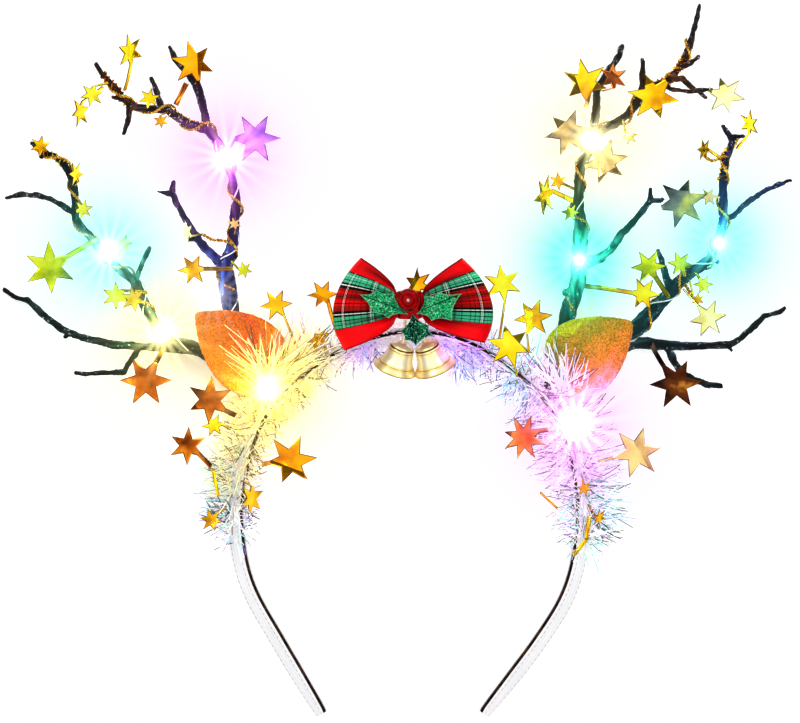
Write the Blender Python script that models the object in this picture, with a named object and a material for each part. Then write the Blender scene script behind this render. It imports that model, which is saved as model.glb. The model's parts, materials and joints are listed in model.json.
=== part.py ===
"""Reindeer antler headband, lying on its back: +Z is the wearer's front, +Y runs to the antler tips.

All sizes and places below are millimetres. Twigs, wires and garlands are short tables with named
columns, and everything that lies on them is placed by the functions that follow the tables.
"""

import math
from collections import namedtuple

import bmesh
import bpy
from mathutils import Matrix, Vector

MM = 0.001
GAP = 0.3
WELD = 0.01

# Hoop: a metal strip between a white outer ribbon and a white lining
HOOP_Z = 12.5
STRIP_THICK = 1.0
STRIP_WIDTH = 8.4
RIBBON_THICK = 0.8
RIBBON_WIDTH = 9.0
LINING_THICK = 0.5
LINING_WIDTH = 8.8
TIP_TAPER = 22.0
TIP_WIDTH_SHARE = 0.55
SECTIONS_PER_SPAN = 2

Hoop = namedtuple("Hoop", "x y tilt")
HOOP_ROUTE = [
    Hoop(-28.8, -135.7, 30),
    Hoop(-45.2, -108.6, 30),
    Hoop(-57.9, -84.7, 30),
    Hoop(-61.8, -60.0, 28),
    Hoop(-58.3, -38.1, 20),
    Hoop(-51.0, -21.5, 6),
    Hoop(-38.0, -7.8, -8),
    Hoop(-20.0, 3.4, -20),
    Hoop(0.0, 9.2, -25),
    Hoop(15.2, 8.9, -25),
    Hoop(30.3, 4.2, -23),
    Hoop(47.2, -6.5, -10),
    Hoop(60.0, -20.0, 4),
    Hoop(68.4, -40.0, 18),
    Hoop(71.1, -62.0, 28),
    Hoop(66.5, -87.0, 30),
    Hoop(54.0, -108.6, 30),
    Hoop(33.0, -135.7, 30),
]

# Tinsel: a sleeve of its outer form round the hoop; share is the place along the hoop, 0 to 1
TINSEL_BORE = 5.4
TINSEL_SIDES = 12
TINSEL_CUT = 0.45
Tinsel = namedtuple("Tinsel", "share across high outward")
TINSEL_LEFT = [
    Tinsel(0.190, 7.5, 9.0, 1.5),
    Tinsel(0.215, 11.0, 12.3, 3.0),
    Tinsel(0.255, 12.0, 12.35, 3.5),
    Tinsel(0.300, 12.0, 12.35, 3.5),
    Tinsel(0.345, 12.0, 12.35, 3.0),
    Tinsel(0.385, 11.0, 12.35, 2.0),
    Tinsel(0.415, 9.0, 10.0, 1.0),
]
TINSEL_CENTRE = [
    Tinsel(0.417, 9.0, 10.0, 1.0),
    Tinsel(0.450, 7.0, 6.8, 0.5),
    Tinsel(0.480, 6.6, 6.7, 0.3),
    Tinsel(0.520, 6.6, 6.7, 0.3),
    Tinsel(0.550, 7.0, 6.8, 0.5),
    Tinsel(0.583, 9.0, 10.0, 1.0),
]
TINSEL_RIGHT = [
    Tinsel(0.585, 9.0, 10.0, 1.0),
    Tinsel(0.615, 13.0, 12.35, 1.0),
    Tinsel(0.655, 16.0, 12.35, 1.5),
    Tinsel(0.700, 17.5, 12.35, 2.0),
    Tinsel(0.745, 16.0, 12.35, 2.5),
    Tinsel(0.785, 13.0, 12.3, 3.0),
    Tinsel(0.815, 8.0, 9.0, 2.0),
]

# Antlers: each twig is a trunk and its shoots, thinning to the tips
Knot = namedtuple("Knot", "x y z radius")
LEFT_UPRIGHT = {
    "trunk": [
        Knot(-49.3, -12.8, 10.2, 2.4),
        Knot(-55.0, -3.0, 10.2, 2.6),
        Knot(-60.5, 7.0, 10.5, 2.6),
        Knot(-63.7, 16.6, 11.2, 2.5),
        Knot(-65.2, 27.3, 12.6, 2.7),
        Knot(-66.3, 36.5, 14.0, 2.5),
        Knot(-63.3, 44.3, 15.5, 1.8),
        Knot(-62.5, 54.7, 17.0, 1.6),
        Knot(-61.8, 59.7, 18.0, 1.9),
        Knot(-62.5, 65.1, 18.5, 1.6),
        Knot(-63.7, 71.6, 19.0, 1.6),
        Knot(-66.0, 79.3, 19.0, 1.7),
        Knot(-69.5, 84.7, 18.6, 1.7),
        Knot(-72.9, 88.9, 18.0, 1.9),
    ],
    "crown_shoot": [
        Knot(-72.9, 88.9, 18.0, 1.6),
        Knot(-74.1, 95.9, 17.0, 1.4),
        Knot(-77.2, 106.6, 14.0, 1.5),
        Knot(-81.8, 111.7, 10.5, 1.2),
        Knot(-85.6, 116.3, 6.0, 1.1),
        Knot(-88.3, 121.5, 0.8, 0.7),
    ],
    "limb": [
        Knot(-72.9, 88.9, 18.0, 1.7),
        Knot(-79.8, 90.9, 20.0, 1.6),
        Knot(-88.3, 96.2, 23.0, 1.5),
        Knot(-95.2, 97.0, 25.0, 1.2),
        Knot(-99.9, 97.0, 26.0, 1.2),
        Knot(-105.3, 100.5, 27.0, 1.3),
        Knot(-108.0, 104.7, 27.5, 1.0),
        Knot(-113.3, 110.1, 27.0, 0.9),
        Knot(-115.7, 114.0, 26.5, 0.6),
    ],
    "limb_up": [
        Knot(-90.4, 96.6, 23.6, 1.1),
        Knot(-92.2, 102.8, 22.0, 1.0),
        Knot(-94.5, 108.8, 20.0, 0.6),
    ],
    "limb_down": [
        Knot(-102.4, 98.4, 26.5, 1.1),
        Knot(-103.3, 91.2, 28.2, 0.9),
        Knot(-104.9, 86.6, 29.5, 0.6),
    ],
    "limb_stub": [
        Knot(-105.3, 100.5, 27.0, 0.9),
        Knot(-109.5, 101.2, 28.0, 0.6),
    ],
    "side": [
        Knot(-66.3, 36.5, 14.0, 1.6),
        Knot(-73.7, 43.1, 16.5, 1.4),
        Knot(-77.2, 47.7, 18.5, 1.3),
        Knot(-82.2, 56.2, 21.5, 1.1),
        Knot(-86.4, 63.9, 24.0, 1.1),
        Knot(-86.0, 68.9, 25.0, 0.7),
    ],
    "side_fork": [
        Knot(-86.4, 63.9, 24.0, 0.9),
        Knot(-92.2, 65.1, 26.0, 0.6),
    ],
    "side_stub": [
        Knot(-76.8, 47.2, 18.3, 0.9),
        Knot(-80.2, 46.6, 19.5, 0.6),
    ],
}
LEFT_HIGH = {
    "trunk": [
        Knot(-49.3, -12.8, 15.9, 2.3),
        Knot(-62.0, -3.0, 15.9, 2.4),
        Knot(-79.8, 5.9, 15.5, 2.4),
        Knot(-87.5, 7.4, 15.0, 2.2),
        Knot(-91.4, 11.9, 15.0, 2.0),
        Knot(-96.4, 19.6, 15.6, 1.9),
        Knot(-101.2, 31.0, 16.6, 1.9),
        Knot(-106.8, 35.4, 17.6, 1.6),
        Knot(-112.6, 40.8, 19.0, 1.5),
        Knot(-120.7, 51.2, 22.0, 1.2),
        Knot(-123.7, 54.7, 23.0, 1.4),
        Knot(-123.4, 62.0, 24.0, 1.5),
        Knot(-124.9, 70.5, 23.5, 1.3),
        Knot(-128.0, 75.5, 22.0, 1.1),
        Knot(-131.4, 78.7, 21.0, 0.9),
        Knot(-135.3, 80.1, 20.0, 0.9),
        Knot(-140.9, 83.9, 18.5, 0.6),
    ],
    "short": [
        Knot(-101.0, 30.6, 16.6, 1.1),
        Knot(-97.9, 38.1, 19.0, 0.9),
        Knot(-94.9, 43.9, 21.0, 0.6),
    ],
    "side": [
        Knot(-123.7, 56.5, 23.4, 1.1),
        Knot(-129.1, 60.1, 20.0, 1.0),
        Knot(-133.7, 62.4, 16.0, 1.0),
        Knot(-139.1, 63.9, 11.0, 0.9),
        Knot(-144.9, 64.3, 6.0, 0.9),
        Knot(-151.4, 63.1, 0.7, 0.6),
    ],
    "tip_bud": [
        Knot(-135.3, 80.1, 20.0, 0.8),
        Knot(-136.9, 78.0, 20.4, 0.5),
    ],
}
LEFT_LOW = {
    "trunk": [
        Knot(-49.3, -12.8, 4.6, 2.2),
        Knot(-62.0, -4.0, 4.6, 2.3),
        Knot(-77.5, 4.6, 4.8, 2.2),
        Knot(-87.5, 5.4, 5.4, 1.8),
        Knot(-96.8, 5.4, 6.6, 1.4),
        Knot(-109.5, 6.5, 8.0, 1.4),
        Knot(-121.8, 9.0, 7.6, 1.3),
        Knot(-129.5, 12.3, 6.0, 1.2),
        Knot(-136.4, 17.7, 4.2, 1.1),
        Knot(-143.0, 23.5, 2.4, 1.0),
        Knot(-146.8, 24.3, 1.5, 0.9),
        Knot(-152.2, 27.7, 0.6, 0.6),
    ],
    "drop": [
        Knot(-99.3, 5.4, 7.0, 1.1),
        Knot(-102.9, 0.0, 9.5, 1.0),
        Knot(-105.3, -4.2, 12.0, 1.1),
        Knot(-112.2, -4.6, 14.0, 0.9),
        Knot(-120.3, -5.0, 15.0, 0.9),
        Knot(-124.1, -4.6, 15.5, 0.7),
    ],
    "stub": [
        Knot(-126.0, 10.6, 6.8, 0.9),
        Knot(-128.4, 9.0, 7.4, 0.6),
    ],
}
RIGHT_UPRIGHT = {
    "trunk": [
        Knot(57.3, -10.3, 10.2, 2.4),
        Knot(61.0, 1.0, 10.2, 2.5),
        Knot(64.0, 11.9, 11.0, 2.3),
        Knot(66.2, 20.0, 12.2, 2.1),
        Knot(69.3, 29.3, 13.8, 2.2),
        Knot(69.9, 37.7, 15.2, 2.3),
        Knot(70.3, 48.1, 16.6, 2.2),
        Knot(70.7, 52.4, 17.2, 2.0),
        Knot(69.3, 58.5, 18.2, 1.8),
        Knot(69.7, 65.1, 19.0, 1.8),
        Knot(69.7, 71.2, 19.4, 1.7),
        Knot(72.2, 79.3, 19.4, 1.7),
        Knot(74.9, 85.9, 19.0, 1.8),
    ],
    "crown_shoot": [
        Knot(74.9, 85.9, 19.0, 1.5),
        Knot(76.5, 98.2, 17.0, 1.3),
        Knot(76.8, 104.7, 15.0, 1.3),
        Knot(82.2, 113.2, 9.5, 1.1),
        Knot(85.3, 117.4, 5.5, 1.0),
        Knot(86.9, 121.7, 0.8, 0.7),
    ],
    "limb": [
        Knot(74.9, 85.9, 19.0, 1.6),
        Knot(82.2, 90.5, 21.0, 1.5),
        Knot(88.4, 94.3, 22.4, 1.5),
        Knot(91.9, 98.9, 23.4, 1.4),
        Knot(93.8, 104.3, 24.0, 1.5),
        Knot(99.2, 105.9, 24.4, 1.3),
        Knot(104.6, 107.8, 24.4, 1.5),
        Knot(107.6, 111.7, 23.8, 1.2),
        Knot(110.7, 116.7, 22.4, 1.2),
        Knot(112.7, 123.2, 20.0, 1.1),
        Knot(114.2, 128.2, 17.6, 1.0),
        Knot(115.3, 132.8, 14.8, 0.9),
        Knot(116.1, 137.0, 12.0, 0.6),
    ],
    "limb_up": [
        Knot(93.8, 104.3, 24.0, 1.2),
        Knot(93.8, 110.9, 26.0, 1.0),
        Knot(93.8, 115.9, 28.0, 0.6),
    ],
    "spur_high": [
        Knot(108.4, 112.8, 23.5, 1.0),
        Knot(112.7, 114.3, 26.0, 0.8),
        Knot(115.7, 116.7, 28.0, 0.6),
    ],
    "spur_low": [
        Knot(104.6, 107.8, 24.4, 1.1),
        Knot(109.2, 108.2, 24.8, 1.0),
        Knot(112.7, 105.1, 24.6, 0.9),
        Knot(118.6, 100.9, 23.0, 0.6),
    ],
    "spur_mid": [
        Knot(101.5, 106.8, 24.4, 1.0),
        Knot(104.6, 104.2, 26.6, 0.9),
        Knot(112.0, 103.0, 29.0, 0.8),
        Knot(120.7, 104.3, 30.0, 0.6),
    ],
    "side": [
        Knot(69.9, 36.6, 15.0, 1.6),
        Knot(78.0, 39.7, 17.0, 1.4),
        Knot(81.9, 42.7, 18.2, 1.3),
        Knot(85.7, 48.1, 20.0, 1.3),
        Knot(91.1, 53.9, 22.0, 1.1),
        Knot(96.9, 61.4, 24.4, 1.1),
        Knot(96.9, 66.2, 25.6, 0.7),
    ],
    "side_fork": [
        Knot(96.9, 61.4, 24.4, 0.9),
        Knot(101.9, 61.8, 26.0, 0.7),
    ],
    "thorn": [
        Knot(69.0, 27.5, 13.5, 0.9),
        Knot(64.2, 26.4, 14.4, 0.6),
    ],
}
RIGHT_HIGH = {
    "trunk": [
        Knot(57.3, -10.3, 15.9, 2.4),
        Knot(69.0, -0.5, 15.9, 2.6),
        Knot(81.9, 7.3, 15.9, 2.8),
        Knot(91.9, 12.5, 15.6, 2.7),
        Knot(95.7, 16.6, 15.6, 2.5),
        Knot(103.8, 25.2, 16.4, 2.1),
        Knot(108.0, 30.0, 17.2, 1.9),
        Knot(112.3, 33.5, 18.2, 1.7),
        Knot(120.4, 39.3, 21.0, 1.8),
        Knot(121.5, 44.7, 22.0, 1.6),
        Knot(124.2, 49.3, 23.0, 1.5),
        Knot(125.0, 55.8, 24.0, 1.7),
        Knot(124.6, 68.9, 24.4, 1.5),
        Knot(126.1, 77.0, 23.4, 1.3),
        Knot(127.7, 81.6, 22.4, 1.2),
        Knot(128.8, 85.9, 21.0, 1.0),
        Knot(133.1, 86.6, 20.0, 0.6),
    ],
    "tip_fork": [
        Knot(128.2, 84.8, 21.2, 0.9),
        Knot(125.0, 90.5, 19.5, 0.6),
    ],
    "short": [
        Knot(105.0, 26.6, 16.6, 1.2),
        Knot(103.4, 32.3, 18.6, 1.1),
        Knot(101.5, 38.1, 21.0, 0.9),
        Knot(99.9, 42.7, 23.0, 0.6),
    ],
    "side": [
        Knot(125.0, 54.4, 23.8, 1.2),
        Knot(128.8, 55.8, 22.0, 1.1),
        Knot(132.7, 59.3, 18.0, 1.0),
        Knot(136.5, 62.4, 14.0, 1.0),
        Knot(141.5, 65.5, 9.0, 0.9),
        Knot(146.5, 67.8, 4.6, 0.8),
        Knot(152.2, 70.1, 0.8, 0.6),
    ],
    "stub": [
        Knot(120.4, 39.3, 21.0, 1.0),
        Knot(123.2, 37.8, 22.0, 0.6),
    ],
}
RIGHT_LOW = {
    "trunk": [
        Knot(57.3, -10.3, 4.6, 2.2),
        Knot(69.0, -2.0, 4.7, 2.3),
        Knot(81.9, 4.4, 5.0, 2.2),
        Knot(91.9, 7.0, 5.4, 2.0),
        Knot(103.4, 6.2, 6.8, 1.6),
        Knot(112.3, 5.8, 8.0, 1.4),
        Knot(121.1, 5.8, 8.0, 1.3),
        Knot(128.1, 6.2, 7.0, 1.3),
        Knot(132.7, 8.9, 5.6, 1.2),
        Knot(136.5, 12.3, 4.2, 1.1),
        Knot(141.5, 17.3, 2.6, 1.0),
        Knot(147.7, 18.9, 1.3, 0.8),
        Knot(150.0, 20.9, 0.6, 0.6),
    ],
    "drop": [
        Knot(103.4, 6.2, 6.8, 1.3),
        Knot(106.9, -0.8, 9.6, 1.2),
        Knot(110.7, -5.4, 12.0, 1.1),
        Knot(115.0, -7.7, 14.0, 1.0),
        Knot(120.2, -9.2, 15.4, 1.0),
        Knot(125.0, -9.6, 16.0, 0.7),
    ],
    "stub": [
        Knot(127.0, 6.1, 7.2, 0.9),
        Knot(129.2, 3.8, 7.8, 0.6),
    ],
}

# Ears: felt leaves; along is the distance from the base, half the leaf's half width there
EAR_THICK = 1.5
EAR_CUP = 3.0
EAR_CUP_REACH = 15.0
EAR_COLUMNS = 6
EAR_FAT = 0.45
EarRow = namedtuple("EarRow", "along half")
EAR_OUTLINE = [
    EarRow(-4.0, 11.0),
    EarRow(1.0, 14.2),
    EarRow(6.0, 15.2),
    EarRow(11.0, 15.0),
    EarRow(17.0, 13.2),
    EarRow(23.0, 9.9),
    EarRow(28.5, 5.8),
    EarRow(33.5, 0.8),
]
Ear = namedtuple("Ear", "base_x base_y base_z heading pitch")
EAR_LEFT = Ear(-51.5, -2.5, 19.7, 141.5, 8.0)
EAR_RIGHT = Ear(66.0, -2.0, 21.6, 35.6, 31.0)

# Bow: two loops of one ribbon; sag is how far the fold's middle stands out past its ends
BOW_Z = 17.6
BOW_THICK = 0.8
BOW_WIDTH = 35.0
BOW_GATHER = 9.0
BOW_PUFF = 14.0
BOW_PATH_STEPS = 14
BOW_WIDTH_STEPS = 6
BOW_FOLD_BULGE = 3.5
BOW_SWELL = 0.75
BOW_PINCH = 1.5
BOW_PINCH_SHARE = 0.35
Loop = namedtuple("Loop", "fold_x fold_y lean length")
KNOT_X = 4.6
KNOT_Y = 21.5
KNOT_SIZE = (8.6, 11.0, 12.0)
KNOT_ROUND = 1.8
KNOT_LIFT = 0.5
LOOP_LEFT = Loop(-18.6, 22.0, 8.0, 22.0)
LOOP_RIGHT = Loop(29.0, 22.6, -9.0, 22.0)

# Holly: leaf outlines from tip to tip, spines joined by hollow curves, and the berry
LEAF_THICK = 0.6
LEAF_HOLLOW = 0.16
LEAF_FOLD = 1.2
LEAF_FOLD_REACH = 6.0
BERRY_RADIUS = 4.6
BERRY_PLACE = (4.3, 23.3, 35.0)
Leaf = namedtuple("Leaf", "spines root tip lift_root lift_tip")
LEAF_LEFT = Leaf(
    [(4.0, 17.9), (-3.4, 16.4), (-9.9, 18.3), (-14.4, 25.4), (-8.2, 27.2), (-1.4, 25.9)],
    (4.0, 18.6), (-14.4, 25.4), 30.8, 35.2,
)
LEAF_RIGHT = Leaf(
    [(7.4, 18.0), (10.4, 24.8), (16.2, 26.5), (24.5, 25.8), (20.8, 15.4), (13.0, 15.3)],
    (7.4, 18.6), (24.5, 25.8), 30.8, 35.2,
)
LEAF_LOWER = Leaf(
    [(5.7, 18.2), (1.0, 11.2), (2.6, 8.0), (7.1, 5.8), (13.7, 10.0), (12.4, 13.6)],
    (5.7, 18.2), (7.1, 5.8), 30.8, 31.0,
)

# Bells: a turned wall; the tie is a short gold stem that hangs each from the knot
BELL_WALL = 0.6
BELL_SIDES = 14
Ring = namedtuple("Ring", "along radius")
BELL_OUTLINE = [
    Ring(0.0, 0.7),
    Ring(0.3, 2.6),
    Ring(1.2, 4.0),
    Ring(3.0, 4.7),
    Ring(6.0, 5.2),
    Ring(8.6, 6.1),
    Ring(10.2, 7.3),
    Ring(11.0, 7.9),
]
BELL_TIE_RADIUS = 0.55
Bell = namedtuple("Bell", "mouth_x mouth_y mouth_z heading pitch tie")
BELL_LEFT = Bell(-1.1, -3.1, 25.0, 250.8, -2.0, [(2.6, 9.0, 26.0), (3.0, 15.6, 26.5)])
BELL_RIGHT = Bell(14.6, -2.9, 25.0, 291.8, -2.0, [(10.2, 9.0, 26.0), (7.4, 15.6, 26.5)])

# Lights and star garlands: wires that lie along the front of the twigs
WIRE_RADIUS = 0.35
WIRE_CLEAR = 0.7
WIRE_SIDE = 42.0
WIRE_STEPS = 2
SEAT_STEPS = 4
BULB_RADIUS = 1.4
BULB_LENGTH = 3.6
BULB_LIFT = 1.3
TINSEL_BULB_RADIUS = 1.7

# Foil stars: six points, creased, each on a foil strap
STAR_THICK = 0.4
STAR_INNER = 0.43
STAR_POINTS = 6
STAR_CREASE = 0.10
STRAP_WIDTH = 1.5
SEAT_LIFT = 0.9
Star = namedtuple("Star", "x y z radius turn lean_x lean_y seat_x seat_y carrier")

# Finishes: colour, roughness, metallic
CRAFT_COLOURS = {
    "strip_metal": ((0.45, 0.30, 0.14), 0.35, 1.0),
    "ribbon_white": ((0.86, 0.86, 0.85), 0.55, 0.0),
    "twig_black": ((0.030, 0.026, 0.024), 0.38, 0.0),
    "ear_felt": ((0.62, 0.22, 0.05), 0.90, 0.0),
    "tinsel_film": ((0.86, 0.90, 0.93), 0.20, 0.0),
    "tartan": ((0.62, 0.03, 0.03), 0.55, 0.0),
    "leaf_glitter": ((0.03, 0.38, 0.12), 0.45, 0.0),
    "berry_red": ((0.55, 0.02, 0.02), 0.15, 0.0),
    "bell_gold": ((0.90, 0.70, 0.30), 0.18, 1.0),
    "star_foil": ((0.92, 0.66, 0.16), 0.16, 1.0),
    "light_wire": ((0.85, 0.85, 0.86), 0.40, 0.0),
    "light_bulb": ((0.95, 0.93, 0.85), 0.20, 0.0),
}


def clear_scene():
    """Removes what the scene holds, so that the part starts alone."""
    for thing in list(bpy.data.objects):
        bpy.data.objects.remove(thing)


def craft_material(name):
    """The Principled material of a finish in CRAFT_COLOURS, made once."""
    if name in bpy.data.materials:
        return bpy.data.materials[name]
    colour, roughness, metallic = CRAFT_COLOURS[name]
    material = bpy.data.materials.new(name)
    material.use_nodes = True
    shader = material.node_tree.nodes["Principled BSDF"]
    shader.inputs["Base Color"].default_value = (*colour, 1.0)
    shader.inputs["Roughness"].default_value = roughness
    shader.inputs["Metallic"].default_value = metallic
    return material


def add_object(name, mesh, finish):
    """A named object with one material."""
    thing = bpy.data.objects.new(name, mesh)
    mesh.materials.clear()
    mesh.materials.append(craft_material(finish))
    bpy.context.collection.objects.link(thing)
    return thing


def mesh_from(builder, name="shape"):
    """A mesh from a bmesh, which is freed."""
    bmesh.ops.recalc_face_normals(builder, faces=builder.faces)
    mesh = bpy.data.meshes.new(name)
    builder.to_mesh(mesh)
    builder.free()
    return mesh


def evaluated_mesh(thing):
    """A copy of an object's mesh with its modifiers applied."""
    depsgraph = bpy.context.evaluated_depsgraph_get()
    return bpy.data.meshes.new_from_object(thing.evaluated_get(depsgraph))


def combine(thing, other_mesh, operation):
    """Applies one exact Boolean to an object, with a mesh as its operand."""
    other = bpy.data.objects.new("operand", other_mesh)
    bpy.context.collection.objects.link(other)
    cut = thing.modifiers.new("combine", "BOOLEAN")
    cut.operation = operation
    cut.solver = "EXACT"
    cut.object = other
    finish = thing.data.materials[0]
    thing.data = evaluated_mesh(thing)
    thing.modifiers.clear()
    thing.data.materials.clear()
    thing.data.materials.append(finish)
    bpy.data.objects.remove(other)


def smooth_rows(rows, per_span):
    """Rows of numbers on one smooth curve through the given rows, per_span steps between each two."""
    smooth = []
    last = len(rows) - 1
    for index in range(last):
        before, start, end, after = (
            rows[max(0, min(last, index + step))] for step in (-1, 0, 1, 2)
        )
        for step in range(per_span):
            t = step / per_span
            smooth.append([
                0.5 * (2 * b + (c - a) * t + (2 * a - 5 * b + 4 * c - d) * t**2
                       + (3 * b - a - 3 * c + d) * t**3)
                for a, b, c, d in zip(before, start, end, after)
            ])
    smooth.append(list(rows[last]))
    return smooth


def tube(places, radii, resolution):
    """A closed tube along a polyline of Vectors in millimetres, its radius given at each."""
    curve = bpy.data.curves.new("sweep", "CURVE")
    curve.dimensions = "3D"
    curve.bevel_depth = MM
    curve.bevel_resolution = resolution
    curve.use_fill_caps = True
    spline = curve.splines.new("POLY")
    spline.points.add(len(places) - 1)
    for point, place, radius in zip(spline.points, places, radii):
        point.co = (*(place * MM), 1.0)
        point.radius = radius
    sweep = bpy.data.objects.new("sweep", curve)
    bpy.context.collection.objects.link(sweep)
    builder = bmesh.new()
    builder.from_mesh(evaluated_mesh(sweep))
    bpy.data.objects.remove(sweep)
    bmesh.ops.remove_doubles(builder, verts=builder.verts, dist=WELD * MM)
    return mesh_from(builder)


def grid(builder, rows):
    """Faces between equal rows of places in millimetres; returns the vertices row by row."""
    lines = [[builder.verts.new(Vector(place) * MM) for place in row] for row in rows]
    for line, following in zip(lines, lines[1:]):
        for index in range(len(line) - 1):
            builder.faces.new((line[index], line[index + 1], following[index + 1], following[index]))
    return lines


def walled_sheet(name, rows, thickness, finish):
    """A sheet through rows of places, thickened evenly to both sides."""
    builder = bmesh.new()
    grid(builder, rows)
    sheet = add_object(name, mesh_from(builder, name), finish)
    wall = sheet.modifiers.new("wall", "SOLIDIFY")
    wall.thickness = thickness * MM
    wall.offset = 0.0
    wall.use_even_offset = True
    return sheet


def hoop_frames():
    """Stations along the hoop: share of its length, place, outward direction and tilt in degrees."""
    rows = smooth_rows([tuple(row) for row in HOOP_ROUTE], SECTIONS_PER_SPAN)
    places = [Vector((x, y, HOOP_Z)) for x, y, tilt in rows]
    lengths = [0.0]
    for start, end in zip(places, places[1:]):
        lengths.append(lengths[-1] + (end - start).length)
    frames = []
    for index, place in enumerate(places):
        ahead = places[min(index + 1, len(places) - 1)]
        behind = places[max(index - 1, 0)]
        along = (ahead - behind).normalized()
        outward = Vector((-along.y, along.x, 0.0))
        frames.append((lengths[index], place, outward, rows[index][2]))
    return frames, lengths[-1]


def hoop_at(share):
    """Place and outward direction at a share of the hoop's length, from its left tip."""
    frames, length = hoop_frames()
    wanted = share * length
    for first, second in zip(frames, frames[1:]):
        if second[0] >= wanted:
            t = (wanted - first[0]) / (second[0] - first[0])
            return first[1].lerp(second[1], t), first[2].lerp(second[2], t).normalized()
    return frames[-1][1], frames[-1][2]


def hoop_layer(name, width, thickness, offset, finish):
    """One layer of the hoop: a strip that turns with the tilt, offset outward from the middle."""
    frames, length = hoop_frames()
    rows = []
    for distance, place, outward, tilt in frames:
        lean = math.radians(tilt)
        across = Vector((0, 0, 1)) * math.cos(lean) - outward * math.sin(lean)
        normal = outward * math.cos(lean) + Vector((0, 0, 1)) * math.sin(lean)
        from_tip = min(distance, length - distance)
        share = TIP_WIDTH_SHARE + (1 - TIP_WIDTH_SHARE) * min(1.0, from_tip / TIP_TAPER)
        half = across * (width * share / 2)
        middle = place + normal * offset
        rows.append([middle - half, middle + half])
    return walled_sheet(name, rows, thickness, finish)


def build_hoop():
    """The metal strip, the outer ribbon and the lining, a gap apart."""
    hoop_layer("hoop_strip", STRIP_WIDTH, STRIP_THICK, 0.0, "strip_metal")
    outer = STRIP_THICK / 2 + GAP + RIBBON_THICK / 2
    inner = STRIP_THICK / 2 + GAP + LINING_THICK / 2
    hoop_layer("hoop_ribbon", RIBBON_WIDTH, RIBBON_THICK, outer, "ribbon_white")
    hoop_layer("hoop_lining", LINING_WIDTH, LINING_THICK, -inner, "ribbon_white")


def tinsel_stretch(name, stations, cutters):
    """A sleeve of the tinsel's outer form round the hoop, cleared round what it is tied over."""
    rows = smooth_rows([tuple(row) for row in stations], SECTIONS_PER_SPAN)
    builder = bmesh.new()
    outer_lines = []
    inner_lines = []
    for share, across, high, outward_by in rows:
        place, outward = hoop_at(share)
        outer = []
        inner = []
        for side in range(TINSEL_SIDES):
            angle = math.tau * side / TINSEL_SIDES
            up = Vector((0, 0, math.sin(angle)))
            out = outward * math.cos(angle)
            outer.append(place + outward * outward_by + out * across + up * high)
            inner.append(place + (out + up) * TINSEL_BORE)
        outer_lines.append([builder.verts.new(v * MM) for v in outer])
        inner_lines.append([builder.verts.new(v * MM) for v in inner])
    for lines in (outer_lines, inner_lines):
        for line, following in zip(lines, lines[1:]):
            for side in range(TINSEL_SIDES):
                other = (side + 1) % TINSEL_SIDES
                builder.faces.new((line[side], line[other], following[other], following[side]))
    for outer, inner in ((outer_lines[0], inner_lines[0]), (outer_lines[-1], inner_lines[-1])):
        for side in range(TINSEL_SIDES):
            other = (side + 1) % TINSEL_SIDES
            builder.faces.new((outer[side], outer[other], inner[other], inner[side]))
    sleeve = add_object(name, mesh_from(builder, name), "tinsel_film")
    for cutter in cutters:
        combine(sleeve, cutter, "DIFFERENCE")


def twig_tube(knots, grown=0.0):
    """One shoot as a tapered tube, grown all round by a margin where it cuts its room in the tinsel."""
    places = [Vector(knot[:3]) for knot in knots]
    places[0] = places[0] + (places[0] - places[1]).normalized() * grown
    return tube(places, [knot.radius + grown for knot in knots], 1)


def build_twig(name, shoots):
    """A twig: its trunk united with its shoots."""
    twig = add_object(name, twig_tube(shoots["trunk"]), "twig_black")
    for shoot, knots in shoots.items():
        if shoot != "trunk":
            combine(twig, twig_tube(knots), "UNION")


def ear_rows(ear, grown=0.0):
    """Rows of places across a felt ear, from its base to its tip, grown in its plane by a margin."""
    heading = math.radians(ear.heading)
    pitch = math.radians(ear.pitch)
    base = Vector((ear.base_x, ear.base_y, ear.base_z))
    along = Vector((math.cos(heading) * math.cos(pitch), math.sin(heading) * math.cos(pitch),
                    math.sin(pitch)))
    across = Vector((-math.sin(heading), math.cos(heading), 0.0))
    front = along.cross(across)
    rows = []
    for step in EAR_OUTLINE:
        row = []
        distance = step.along - grown if step is EAR_OUTLINE[0] else step.along
        for column in range(EAR_COLUMNS + 1):
            side = (2 * column / EAR_COLUMNS - 1) * (step.half + grown)
            cup = EAR_CUP * (side / EAR_CUP_REACH)**2
            row.append(base + along * distance + across * side + front * cup)
        rows.append(row)
    return rows


def build_ear(name, ear):
    """A felt ear."""
    walled_sheet(name, ear_rows(ear), EAR_THICK, "ear_felt")


def ear_room(ear):
    """The room that an ear takes in the tinsel: the ear with a margin."""
    sheet = walled_sheet("ear_room", ear_rows(ear, EAR_FAT), EAR_THICK + 2 * EAR_FAT, "ear_felt")
    room = evaluated_mesh(sheet)
    bpy.data.objects.remove(sheet)
    return room


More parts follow.
